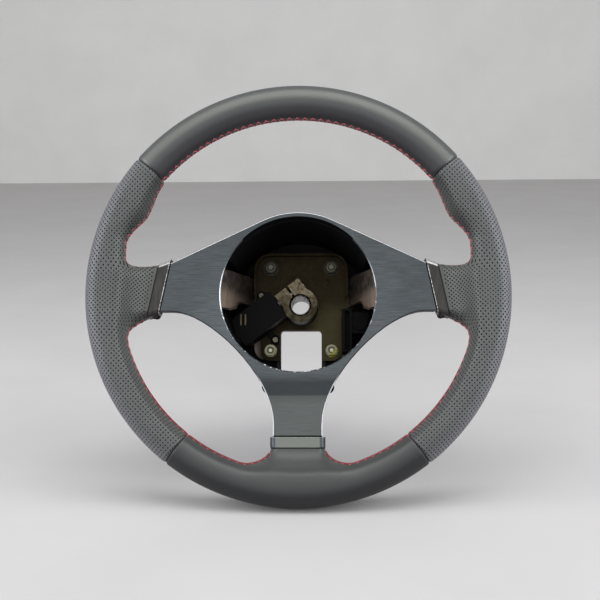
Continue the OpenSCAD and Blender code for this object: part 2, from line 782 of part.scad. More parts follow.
screw_x = side_clip_s - 26.8;
screw_z = -bottom_clip_s * 0.651;
screw_places = [[screw_x, 28.5], [-screw_x, 28.5], [25, screw_z], [-25, screw_z]];
screw_r = 1.5;
boss_r = 3.5;
boss_h = 5;

module hub_opening(r, depth, t) {
    post([0, 0], depth, t, r);
}

module spoke_bezel() {
    color([0.24, 0.26, 0.27])
        difference() {
            union() {
                bent(face_depth)
                    chamfered_plate(bezel_outline, face_depth, bezel_t, bezel_chamfer);
                post([0, 0], face_depth + bezel_chamfer, bezel_t - bezel_chamfer - 0.2, opening_r + web_least);
                for (p = screw_places)
                    post(p, bezel_rear - 0.5, boss_h + 0.5, boss_r);
            }
            post([0, 0], face_depth - 1, bezel_t + 2, opening_r);
            post([0, 0], face_depth - 0.01, bezel_chamfer, opening_r, opening_r + bezel_chamfer);
            intersection() {
                post([0, 0], face_depth - 1, bezel_t + 2, opening_r + opening_step);
                translate([0, face_depth - 2 - rim_ahead, 0])
                    rotate([0, -45, 0])
                        cube([80, bezel_t + 4, 80]);
            }
            for (p = screw_places)
                post(p, bezel_rear, boss_h + 1, screw_r);
        }
}

// Rear shroud

module bucket(grow) {
    translate([0, floor_rear - rim_ahead, 0])
        rotate([90, 0, 0])
            rotate_extrude($fn = 128)
                polygon(grow < 0
                    ? [[0, floor_t], [bucket_floor_r + grow, floor_t],
                       [bucket_front_r + grow, floor_rear - bucket_front + 1], [0, floor_rear - bucket_front + 1]]
                    : [[0, 0], [bucket_floor_r - 3, 0], [bucket_floor_r, 3],
                       [bucket_front_r, floor_rear - bucket_front], [0, floor_rear - bucket_front]]);
}

// Fairing from a tray back along an arm, as a profile over depth
function fairing_profile(x0, x1, x2, grow) =
    [[x0, bucket_front - (grow < 0 ? 1 : 0)], [x1 + 4 + grow, bucket_front - (grow < 0 ? 1 : 0)],
     [x1 + grow, bucket_front + tray_h + 6], [x2 + grow, floor_rear + grow],
     [x0, floor_rear + grow]];

module side_fairing(grow) {
    translate([0, -rim_ahead, -14 - grow])
        linear_extrude(47 + 2 * grow)
            polygon(fairing_profile(45, opening_r + 6.5, bucket_floor_r - 1, grow));
}

module bottom_fairing(grow) {
    translate([-tongue_hw - 3.2 - grow, -rim_ahead, 0])
        rotate([0, 90, 0])
            linear_extrude(2 * (tongue_hw + 3.2 + grow))
                polygon(fairing_profile(45, opening_r + 14, cable_low + 15, grow));
}

module shroud_body(grow) {
    step = shroud_step - grow;
    bent(face_depth)
        if (grow < 0)
            slab(bezel_rear - 1, tray_h + 1 + grow)
                polygon(inset(bezel_outline, step));
        else
            chamfered_plate(inset(bezel_outline, step), bezel_rear, tray_h, 3, true);
    bucket(grow);
    side_fairing(grow);
    mirror([1, 0, 0])
        side_fairing(grow);
    bottom_fairing(grow);
}

tool_depth = clamp_front + pinch_back;
bolt_dir = slot_a - 90;

module along_bolt() {
    translate([0, tool_depth - rim_ahead, 0])
        rotate([0, -bolt_dir, 0])
            translate([0, 0, pinch_off])
                rotate([0, -90, 0])
                    children();
}

module rear_shroud() {
    color([0.06, 0.06, 0.065])
        union() {
            difference() {
                shroud_body(0);
                shroud_body(-shroud_t);
                slab(floor_front - 1, floor_t + 4)
                    union() {
                        rounded_plan(-plate_hw + 6, plate_hw - 6, -cable_top - 1, plate_top - 8, 8);
                        cable_cut(cable_low);
                        hub_bolt_places()
                            circle(bolt_r + 4);
                    }
                along_bolt()
                    translate([0, 0, 20])
                        cylinder(r = guide_bore_r, h = 80);
                for (p = screw_places)
                    post(p, bezel_rear, tray_h + 2, boss_r + fit);
                for (side = [0, 1])
                    mirror([side, 0, 0])
                        rotate([0, -side_clip_a, 0])
                            translate([side_clip_s - 9, bezel_rear - 1 - rim_ahead, side_clip_mid - 13.4])
                                cube([12, tray_h + 1 - shroud_t, 30]);
                translate([-strap_hw - 1.5, bottom_depth - 6 - rim_ahead, -bottom_clip_s - 3])
                    cube([2 * strap_hw + 3, 13, 12]);
            }
            for (p = screw_places)
                difference() {
                    post(p, bezel_rear + boss_h + fit, tray_h - boss_h - fit - 2, boss_r + 1.5);
                    post(p, bezel_rear, tray_h, screw_r + 0.2);
                }
        }
}

module shroud_screws() {
    color([0.5, 0.5, 0.5])
        for (p = screw_places) {
            post(p, bezel_rear + tray_h - 2, 1.8, 2.8);
            post(p, bezel_rear + 0.5, tray_h - 2.5, screw_r);
        }
}

// Hub

module hub_plate_plan() {
    difference() {
        union() {
            rounded_plan(-plate_hw, plate_hw, 0, plate_top, 16);
            translate([-plate_hw, 0])
                square([2 * plate_hw, 14]);
            rounded_plan(-bolt_x - lobe_r, bolt_x + lobe_r, -bolt_z - lobe_r, 8, lobe_r);
        }
        rounded_plan(-cable_hw, cable_hw, -bolt_z - lobe_r - 20, -cable_top, cable_corner);
    }
}

module hub_plate() {
    color([0.36, 0.33, 0.28])
        difference() {
            union() {
                slab(plate_front, plate_t)
                    hub_plate_plan();
                slab(plate_front - flange_h, flange_h + 1)
                    difference() {
                        rounded_plan(-plate_hw, plate_hw, 2, plate_top, 16);
                        rounded_plan(-plate_hw + 2.5, plate_hw - 2.5, -20, plate_top - 2.5, 13.5);
                    }
            }
            post([0, 0], plate_front - 1, plate_t + 2, clamp_r);
            for (x = [-bolt_x, bolt_x], z = [-bolt_z, bolt_z])
                post([x, z], plate_front - 1, plate_t + 2, bolt_r + bolt_gap);
        }
}

module column_clamp() {
    color([0.5, 0.44, 0.33])
        difference() {
            union() {
                post([0, 0], clamp_front, clamp_l, clamp_r);
                translate([0, plate_front - 1.5 - rim_ahead, 0])
                    rotate([0, -slot_a, 0])
                        translate([0, clamp_front - plate_front + 1.5, -ear_w / 2])
                            cube([ear_reach, plate_front - clamp_front - 1.5, ear_w]);
            }
            post([0, 0], clamp_front - 1, clamp_l + 2, bore_r);
            post([0, 0], clamp_front - 0.01, 1.2, bore_r, bore_r + 1.2);
            translate([0, -rim_ahead, 0])
                rotate([0, -slot_a, 0])
                    translate([0, clamp_front - 1, -slot_w / 2])
                        cube([ear_reach + 1, plate_front - clamp_front - 1, slot_w]);
            along_bolt()
                translate([0, 0, -40])
                    cylinder(r = pinch_r, h = 80);
        }
}

module pinch_bolt() {
    color([0.4, 0.4, 0.38])
        along_bolt() {
            difference() {
                translate([0, 0, ear_w / 2])
                    cylinder(r = 6.5, h = 8);
                translate([0, 0, ear_w / 2 + 4])
                    cylinder(r = 3.5, h = 5, $fn = 6);
            }
            translate([0, 0, -ear_w / 2 - 1])
                cylinder(r = pinch_r, h = ear_w + 1);
        }
}

module hex_head(at, depth, h, r) {
    translate([at[0], depth + h - rim_ahead, at[1]])
        rotate([90, 0, 0])
            cylinder(r = r, h = h, $fn = 6);
}

nut_h = 5;

module upper_hub_nuts() {
    color([0.2, 0.2, 0.18])
        for (x = [-bolt_x, bolt_x]) {
            post([x, bolt_z], plate_front - 1.2, 1.2, bolt_r + 3.2);
            hex_head([x, bolt_z], plate_front - 1.2 - nut_h, nut_h + 0.6, bolt_r + 2);
            post([x, bolt_z], plate_front - nut_h - 4, plate_t + pan_t + weld_nut_h + nut_h + 4, bolt_r - 0.2);
        }
}

washer_t = 1.6;

module lower_hub_bolts() {
    color([0.62, 0.6, 0.5])
        for (x = [-bolt_x, bolt_x]) {
            post([x, -bolt_z], plate_front - washer_t - 1.2, 1.2, bolt_r + 1.8);
            hex_head([x, -bolt_z], plate_front - washer_t - 6.4, 5.8, bolt_r + 1.2);
            post([x, -bolt_z], plate_front - washer_t - 0.1, washer_t + plate_t + pan_t + weld_nut_h, bolt_r - 0.2);
        }
}

module lower_hub_washers() {
    color([0.6, 0.58, 0.5])
        for (x = [-bolt_x, bolt_x])
            difference() {
                post([x, -bolt_z], plate_front - washer_t, washer_t, bolt_r + 2.2);
                post([x, -bolt_z], plate_front - washer_t - 1, washer_t + 2, bolt_r);
            }
}

// Fittings on the hub plate

guide_start = ear_w / 2 + 1;
screw_a = [-21.6, pinch_off + guide_w / 2 + 4];
screw_b = [-36.3, pinch_off - guide_w / 2 - 9.2];

// Room inside the shroud's bucket
module inside_bucket() {
    post([0, 0], bucket_front, floor_front - bucket_front,
         bucket_floor_r - shroud_t - 0.6, bucket_front_r - shroud_t - 0.6);
}

module guide_frame() {
    translate([0, plate_front - rim_ahead, 0])
        rotate([0, -bolt_dir, 0])
            children();
}

module bolt_guide() {
    color([0.05, 0.05, 0.055])
        difference() {
            union() {
                intersection() {
                    guide_frame()
                        translate([-guide_start - guide_l, -guide_h, pinch_off - guide_w / 2])
                            cube([guide_l, guide_h, guide_w]);
                    inside_bucket();
                }
                guide_frame() {
                    for (s = [screw_a, screw_b])
                        translate([s[0], 0, s[1]])
                            rotate([90, 0, 0])
                                cylinder(r = 4.2, h = 6);
                    translate([screw_b[0] - 3, -6, screw_b[1]])
                        cube([6, 6, pinch_off - guide_w / 2 - screw_b[1] + 1]);
                    translate([screw_a[0] - 3, -6, pinch_off + guide_w / 2 - 1])
                        cube([6, 6, screw_a[1] - pinch_off - guide_w / 2 + 1]);
                }
            }
            along_bolt()
                cylinder(r = guide_bore_r, h = 100);
            post([0, 0], clamp_front - 10, clamp_l, clamp_r + fit);
            guide_frame()
                for (s = [screw_a, screw_b])
                    translate([s[0], 1, s[1]])
                        rotate([90, 0, 0])
                            cylinder(r = 1.6, h = 8);
        }
}

module guide_screws() {
    color([0.55, 0.52, 0.42])
        guide_frame()
            for (s = [screw_a, screw_b])
                translate([s[0], -6, s[1]])
                    rotate([90, 0, 0])
                        difference() {
                            union() {
                                translate([0, 0, -6])
                                    cylinder(r = 1.5, h = 7);
                                cylinder(r = 3.6, h = 1.2);
                                translate([0, 0, 1.2])
                                    cylinder(r1 = 3.6, r2 = 2.4, h = 1);
                            }
                            for (a = [0, 90])
                                rotate([0, 0, a])
                                    translate([-2, -0.4, 1.2])
                                        cube([4, 0.8, 2]);
                        }
}

housing_x = bolt_x + lobe_r + 0.6;

module connector_housing() {
    color([0.07, 0.07, 0.075])
        intersection() {
            difference() {
                union() {
                    slab(plate_front - housing_h, housing_h + plate_t)
                        rounded_plan(housing_x, housing_x + 8.5, -42, -3, 1.5);
                    slab(plate_front - housing_h + 4, housing_h - 4)
                        rounded_plan(housing_x + 4, housing_x + 24, -25, -6, 3);
                }
                slab(plate_front - housing_h - 1, 12)
                    rounded_plan(housing_x + 2, housing_x + 6.5, -40, -5, 1);
            }
            inside_bucket();
        }
}

module horn_contact() {
    color([0.09, 0.09, 0.09])
        intersection() {
            post([housing_x + 15.5, -15.5], plate_front - housing_h + 1, 3, contact_r);
            inside_bucket();
        }
}

module contact_springs() {
    color([0.6, 0.58, 0.55])
        for (x = [-plate_hw - 10.5, -plate_hw - 6.5])
            slab(plate_front - guide_h - 1.2, 1.2)
                translate([x, -18])
                    square([1.4, 10]);
}

armature();
rim_ring();
rim_foam();
leather_top();
leather_left();
leather_right();
leather_bottom();
spoke_bezel();
left_spoke_clip();
right_spoke_clip();
bottom_spoke_clip();
rear_shroud();
shroud_screws();
hub_plate();
column_clamp();
pinch_bolt();
upper_hub_nuts();
lower_hub_bolts();
lower_hub_washers();
bolt_guide();
guide_screws();
connector_housing();
horn_contact();
contact_springs();
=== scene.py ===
"""Looks of a leather-covered, three-spoke car steering wheel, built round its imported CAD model."""

import math

import bpy
import numpy as np
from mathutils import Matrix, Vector


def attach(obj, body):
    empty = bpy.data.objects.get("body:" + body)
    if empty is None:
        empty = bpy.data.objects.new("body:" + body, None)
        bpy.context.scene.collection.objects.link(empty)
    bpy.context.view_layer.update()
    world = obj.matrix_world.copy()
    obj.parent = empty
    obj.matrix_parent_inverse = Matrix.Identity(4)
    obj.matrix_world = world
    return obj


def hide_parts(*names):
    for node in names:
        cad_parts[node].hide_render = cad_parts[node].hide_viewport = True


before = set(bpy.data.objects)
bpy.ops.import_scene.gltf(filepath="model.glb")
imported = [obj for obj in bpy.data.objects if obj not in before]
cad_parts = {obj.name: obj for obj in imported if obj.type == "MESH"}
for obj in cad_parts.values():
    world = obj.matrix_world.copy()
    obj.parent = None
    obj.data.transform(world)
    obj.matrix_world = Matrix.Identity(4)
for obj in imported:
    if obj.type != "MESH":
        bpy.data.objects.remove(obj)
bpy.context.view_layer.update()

# Sizes of the wheel in millimetres and degrees, the same as in the part's source

MM = 0.001
RIM_AHEAD = 127.0
RIM_R = 175.0
GRIP_R = 14.5
MID_R = RIM_R - GRIP_R
INNER_R = RIM_R - 2 * GRIP_R
ROOT_T = 20.8
ROOT_EDGE_R = 7.0
ROOT_DEPTH = 21.0
UPPER_SEAM = 40.0
LOWER_SEAM = 52.6
POCKET_A = 16.5
THUMB_A = 27.5
THUMB_RISE = 4.1
THUMB_POCKET = 2.2
SIDE_CLIP_S = 110.41
SIDE_CLIP_A = 11.7
SIDE_CLIP_MID = -18.4
SIDE_SPOKE_A = 20.0
SIDE_CLIP_L = 40.4
BOTTOM_CLIP_S = 118.3
BOTTOM_CLIP_L = 45.2
CLIP_W = 8.3
CLIP_GAP = 0.3
CLIP_PROUD = 0.2
OPENING_R = 64.7
BEND_Z = -84.0
BEND_A = 6.7
BEND_SLOPE = math.tan(math.radians(BEND_A))
BOTTOM_DEPTH = ROOT_DEPTH - (BOTTOM_CLIP_S + BEND_Z) * BEND_SLOPE
HUB_BOLT_X, HUB_BOLT_Z = 28.0, 38.5
SEAM_TRIM = math.degrees(0.2 / MID_R)

# Plan curves of the spoke roots: where they leave the rim, and their curve handles

SIDE_LOW_A = -19.8
SIDE_LOW_LEAD = 19.0
SIDE_LOW_HANDLE = (14.7, -7.3)
SIDE_HIGH_HANDLE = (30.1, -7.5)
POCKET_HANDLE = (0.9, -17.2)
SIDE_OUT = (-2.5, 3.0)
BOTTOM_START_A = -71.5
BOTTOM_OUT_A = -87.0
BOTTOM_LEAD = 9.0
BOTTOM_HANDLE = (0.5, -9.0)

# Stations along the rim, along each curve and across each clip

SIDE_RIM_STEPS, SIDE_LOW_STEPS, SIDE_HIGH_STEPS, THUMB_STEPS = 70, 40, 50, 64
BOTTOM_RIM_STEPS, BOTTOM_STEPS = 50, 44
TOP_STEPS = 150
CLIP_STEPS = 46

# How far the middle line and the edge of a root blend into the rim: along the spoke, and by radius

MIDDLE_BLEND = (34.0, INNER_R - 8, INNER_R + 6)
EDGE_BLEND = (30.0, INNER_R - 12, INNER_R + 2)

# Leather and its seams

ROWS = 34
SEAM_DEPTH = 1.1
SEAM_END_W = 1.9
GROOVE_W = 1.7
GROOVE_BOTTOM = 1.15
PUCKER = 0.05
PUCKER_PITCH = 6.2
PUCKER_AT, PUCKER_W = 5.0, 2.4
CLIP_TURN = 0.12
SEAM_TURN = 0.16
PADDING_UNDER = 1.35
PADDING_GROOVE = 0.9
NECK_SHORT = 0.5
TINY = 1e-9
MIRROR = [-1, 1, 1]


# Shapes in millimetres: plan points are (x, z), depth runs away from the driver

def ease(t):
    c = np.clip(t, 0.0, 1.0)
    return c * c * (3 - 2 * c)


def mix(a, b, t):
    return a + (b - a) * t


def polar(r, a):
    a = np.radians(a)
    return np.stack([r * np.cos(a), r * np.sin(a)], -1)


def bezier(p, t):
    t = np.asarray(t)[..., None]
    p = [np.asarray(q, float) for q in p]
    return p[0] * (1 - t) ** 3 + p[1] * 3 * t * (1 - t) ** 2 + p[2] * 3 * t * t * (1 - t) + p[3] * t ** 3


def inner_steps(count):
    """Even steps from 0 to 1 without the two ends."""
    return np.linspace(0, 1, count)[1:-1]


def thumb_radius(a):
    low = mix(INNER_R + THUMB_POCKET, INNER_R - THUMB_RISE, ease((a - POCKET_A) / (THUMB_A - POCKET_A)))
    high = mix(INNER_R - THUMB_RISE, INNER_R, ease((a - THUMB_A) / (UPPER_SEAM - THUMB_A)))
    return np.where(a < THUMB_A, low, high)


def side_root():
    """Plan of the right root: its lower and upper inner edge, and the rim angles across from them."""
    n = polar(1.0, SIDE_CLIP_A)
    along = np.array([-n[1], n[0]])
    lean = math.radians(SIDE_CLIP_A + SIDE_SPOKE_A)
    s = SIDE_CLIP_S + CLIP_W + CLIP_GAP
    mid = SIDE_CLIP_MID - (CLIP_W / 2 + CLIP_GAP) * math.tan(lean)
    half = (SIDE_CLIP_L - 2 * CLIP_PROUD) / 2 / math.cos(lean)
    low_c = n * s + along * (mid - half)
    high_c = n * s + along * (mid + half)
    start = polar(INNER_R, SIDE_LOW_A)
    la = math.radians(SIDE_LOW_A)
    lead = SIDE_LOW_LEAD * np.array([-math.sin(la), math.cos(la)])
    low_curve = [start, start + lead, low_c + SIDE_LOW_HANDLE, low_c]
    pocket = polar(INNER_R + THUMB_POCKET, POCKET_A)
    high_curve = [high_c, high_c + SIDE_HIGH_HANDLE, pocket + POCKET_HANDLE, pocket]
    a = np.linspace(-LOWER_SEAM + SEAM_TRIM, SIDE_LOW_A, SIDE_RIM_STEPS)
    t = inner_steps(SIDE_LOW_STEPS)
    low = np.concatenate([polar(INNER_R, a), bezier(low_curve, t)])
    low_o = np.concatenate([a, mix(SIDE_LOW_A, SIDE_OUT[0], t)])
    b = np.linspace(POCKET_A, UPPER_SEAM - SEAM_TRIM, THUMB_STEPS)
    t = inner_steps(SIDE_HIGH_STEPS)
    high = np.concatenate([bezier(high_curve, t), polar(thumb_radius(b), b)])
    high_o = np.concatenate([mix(SIDE_OUT[1], POCKET_A, t), b])
    return dict(low=low, low_o=low_o, high=high, high_o=high_o, low_c=low_c, high_c=high_c,
                out=SIDE_OUT, normal=n, depth=ROOT_DEPTH)


def bottom_root():
    """Plan of the bottom root, which is the same on its left and its right."""
    s = BOTTOM_CLIP_S + CLIP_W + CLIP_GAP
    corner = np.array([BOTTOM_CLIP_L / 2 - CLIP_PROUD, -s])
    r = math.radians(BOTTOM_START_A)
    start = polar(INNER_R, BOTTOM_START_A)
    lead = BOTTOM_LEAD * np.array([math.sin(r), -math.cos(r)])
    t = inner_steps(BOTTOM_STEPS)
    a = np.linspace(BOTTOM_START_A, -LOWER_SEAM - SEAM_TRIM, BOTTOM_RIM_STEPS)
    curve = [corner, corner + BOTTOM_HANDLE, start + lead, start]
    right = np.concatenate([bezier(curve, t), polar(INNER_R, a)])
    right_o = np.concatenate([mix(BOTTOM_OUT_A, BOTTOM_START_A, t), a])
    left = (right * [-1, 1])[::-1]
    left_o = (-180 - right_o)[::-1]
    return dict(low=left, low_o=left_o, high=right, high_o=right_o, low_c=corner * [-1, 1], high_c=corner,
                out=(-180 - BOTTOM_OUT_A, BOTTOM_OUT_A), normal=np.array([0.0, -1.0]), depth=BOTTOM_DEPTH)


def path_distance(p, path):
    a, b = path[:-1], path[1:]
    ab = b - a
    flat = p.reshape(-1, 2)
    t = ((flat[:, None, :] - a) * ab).sum(-1) / np.maximum((ab * ab).sum(-1), TINY)
    t = np.clip(t, 0, 1)
    d = np.linalg.norm(flat[:, None, :] - (a + t[..., None] * ab), axis=-1).min(1)
    return d.reshape(p.shape[:-1])


def root_blend(p, root, reach, r0, r1):
    q = (p - root["low_c"]) @ root["normal"]
    return (1 - ease(q / reach)) * (1 - ease((np.linalg.norm(p, axis=-1) - r0) / (r1 - r0)))


def root_middle(p, root):
    return root["depth"] * root_blend(p, root, *MIDDLE_BLEND)


def half_height(p, root):
    w = root_blend(p, root, *EDGE_BLEND)
    r = np.maximum(1, mix(GRIP_R, ROOT_EDGE_R, w))
    h = mix(GRIP_R, ROOT_T / 2, w)
    low = np.concatenate([root["low"], [root["low_c"]]])
    high = np.concatenate([[root["high_c"]], root["high"]])
    d = np.minimum(path_distance(p, low), path_distance(p, high))
    d = np.minimum(d, RIM_R - np.linalg.norm(p, axis=-1))
    f = 1 - np.clip(d / r, 0, 1)
    return h * np.sqrt(np.clip(1 - f * f, 0, 1))


def padding_grid(root):
    """Front and rear points [station, row from the inner edge out, 3], and which stations meet the clip."""
    f = np.linspace(0, 1, CLIP_STEPS)
    clip_edge = mix(root["low_c"], root["high_c"], f[:, None])
    edge = np.concatenate([root["low"], clip_edge, root["high"]])
    out = np.concatenate([root["low_o"], mix(root["out"][0], root["out"][1], f), root["high_o"]])
    steps = (1 - np.cos(np.linspace(0, math.pi, ROWS + 1))) / 2
    plan = mix(edge[:, None, :], polar(RIM_R, out)[:, None, :], steps[None, :, None])
    n0 = len(root["low"])
    on_clip = np.zeros(len(edge), bool)
    on_clip[n0:n0 + len(f)] = True
    y = root_middle(plan, root)
    h = half_height(plan, root)
    h[:, -1] = 0
    h[~on_clip, 0] = 0
    front = np.stack([plan[..., 0], y - h, plan[..., 1]], -1)
    rear = np.stack([plan[..., 0], y + h, plan[..., 1]], -1)
    return front, rear, on_clip


def top_grid():
    """The same for the plain round grip between the two upper seams."""
    a = np.linspace(UPPER_SEAM + SEAM_TRIM, 180 - UPPER_SEAM - SEAM_TRIM, TOP_STEPS)
    b = np.linspace(0, math.pi, ROWS + 1)
    r = MID_R - GRIP_R * np.cos(b)
    h = GRIP_R * np.sin(b)
    ar = np.radians(a)[:, None]
    front = np.stack([r * np.cos(ar), -h + 0 * ar, r * np.sin(ar)], -1)
    rear = np.stack([r * np.cos(ar), h + 0 * ar, r * np.sin(ar)], -1)
    return front, rear, np.zeros(len(a), bool)


def run_length(line):
    """Length along a line of points, from its start."""
    return np.concatenate([[0], np.cumsum(np.linalg.norm(np.diff(line, axis=0), axis=1))])


def middle_line(front, rear):
    return (front[:, ROWS // 2] + rear[:, ROWS // 2]) / 2


def seam_dip(front, rear):
    """How far the leather turns in at the panel's two ends, in mm."""
    s = run_length(middle_line(front, rear))
    end = np.minimum(s, s[-1] - s)
    return SEAM_DEPTH * np.clip(1 - end / SEAM_END_W, 0, 1) ** 2


def section_lengths(side):
    """Arc length from the inner edge along each station."""
    d = np.linalg.norm(np.diff(side, axis=1), axis=2)
    return np.concatenate([np.zeros((len(side), 1)), np.cumsum(d, axis=1)], axis=1)


def surface_normals(g):
    du = np.gradient(g, axis=0)
    dv = np.gradient(g, axis=1)
    n = np.cross(dv, du)
    return n / np.maximum(np.linalg.norm(n, axis=2, keepdims=True), TINY)


def flat_direction(v):
    """Unit vectors in the plane of the rim."""
    v = v * [1, 0, 1]
    return v / np.maximum(np.linalg.norm(v, axis=1, keepdims=True), TINY)


def to_world(p):
    q = np.array(p, float)
    q[..., 1] -= RIM_AHEAD
    return q * MM


# Meshes

def new_mesh(name, verts, faces, smooth=True):
    me = bpy.data.meshes.new(name)
    me.from_pydata([tuple(v) for v in verts], [], [tuple(f) for f in faces])
    me.validate()
    me.update()
    if smooth:
        me.polygons.foreach_set("use_smooth", [True] * len(me.polygons))
    ob = bpy.data.objects.new(name, me)
    bpy.context.scene.collection.objects.link(ob)
    return ob


def grid_faces(rows, cols, start=0, flip=False):
    u, k = np.meshgrid(np.arange(rows - 1), np.arange(cols - 1), indexing="ij")
    a = (start + u * cols + k).ravel()
    f = np.stack([a, a + 1, a + cols + 1, a + cols], -1)
    return f[:, ::-1] if flip else f


def ring_faces(a, b):
    """Quads between two closed rings, given by their point numbers."""
    return np.stack([a, np.roll(a, -1), np.roll(b, -1), b], -1)


def stacked_rings(count, rows):
    """Quads between neighbouring rings of count points each, one after the other."""
    j = np.arange(count)
    return np.concatenate([ring_faces(k * count + j, (k + 1) * count + j) for k in range(rows - 1)])


def clip_ring(on_clip, cols):
    """Point numbers round the leather's open end at the clip."""
    ids = np.where(on_clip)[0]
    return np.concatenate([ids * cols, (len(on_clip) + ids[::-1]) * cols])


def leather_sides(front, rear, on_clip):
    """The panel's two faces: turned in at the ends, drawn together along the inner seam, puckered by it."""
    dip = seam_dip(front, rear)
    pucker = PUCKER * np.sin(run_length(front[:, 0]) * 2 * math.pi / PUCKER_PITCH)[:, None]
    sides = []
    for side, turn in ((front, 1), (rear, -1)):
        at = section_lengths(side)
        groove = SEAM_DEPTH * np.exp(-(at / GROOVE_W) ** 2) * (~on_clip)[:, None]
        bulge = pucker * np.exp(-((at - PUCKER_AT) / PUCKER_W) ** 2)
        sides.append(side - turn * surface_normals(side) * (dip[:, None] + groove - bulge)[..., None])
    inward = flat_direction(middle_line(front, rear) - front[:, 0])
    seam = (front[:, 0] + rear[:, 0]) / 2 + inward * (dip + GROOVE_BOTTOM)[:, None]
    outer = (front[:, -1] + rear[:, -1]) / 2
    outer = outer - flat_direction(outer) * dip[:, None]
    for side in sides:
        side[~on_clip, 0] = seam[~on_clip]
        side[:, -1] = outer
    return sides


def turned_in(verts, ring, share):
    """The points with a copy of the ring, moved by a share of the way to its middle."""
    return np.concatenate([verts, verts[ring] + (verts[ring].mean(0) - verts[ring]) * share])


def pattern(sides, lengths, count):
    """Flat coordinates in mm: along the face, with the section rolled out, and the way from the seam."""
    flat = np.zeros((count, 3))
    roll_out = 1 + (math.pi / 2 - 1) * GRIP_R / RIM_R
    start = 0
    for side, at in zip(sides, lengths):
        out = side[:, -1][:, [0, 2]]
        d = side[:, 0][:, [0, 2]] - out
        d /= np.maximum(np.linalg.norm(d, axis=1, keepdims=True), TINY)
        uv = (out * roll_out)[:, None, :] + d[:, None, :] * (at[:, -1:] - at)[..., None]
        flat[start:start + at.size, :2] = uv.reshape(-1, 2)
        flat[start:start + at.size, 2] = at.reshape(-1)
        start += at.size
    return flat


def panel(name, grid, mirror=False):
    """Leather panel as one mesh, and its two faces and clip stations for the stitching."""
    front, rear, on_clip = grid
    sides = leather_sides(front, rear, on_clip)
    lengths = [section_lengths(front), section_lengths(rear)]
    if mirror:
        sides = [s[::-1] * MIRROR for s in sides]
        lengths = [at[::-1] for at in lengths]
        on_clip = on_clip[::-1]
    m, n = sides[0].shape[:2]
    verts = np.concatenate([s.reshape(-1, 3) for s in sides])
    faces = [grid_faces(m, n), grid_faces(m, n, m * n, True)]
    ring = clip_ring(on_clip, n)
    if len(ring):
        # Cut end under the clip
        new = len(verts) + np.arange(len(ring))
        verts = turned_in(verts, ring, CLIP_TURN)
        faces.append(ring_faces(new, ring))
    for row in (0, m - 1):
        # Turned edge at a panel seam
        ring = np.concatenate([row * n + np.arange(n), m * n + row * n + np.arange(n - 2, 0, -1)])
        new = len(verts) + np.arange(len(ring))
        verts = turned_in(verts, ring, SEAM_TURN)
        faces.append(ring_faces(new, ring) if row == 0 else ring_faces(ring, new))
    ob = new_mesh(name, to_world(verts), np.concatenate(faces))
    flat = ob.data.attributes.new("pattern", "FLOAT_VECTOR", "POINT")
    flat.data.foreach_set("vector", pattern(sides, lengths, len(verts)).astype(np.float32).ravel())
    return ob, (*sides, on_clip)


# Materials

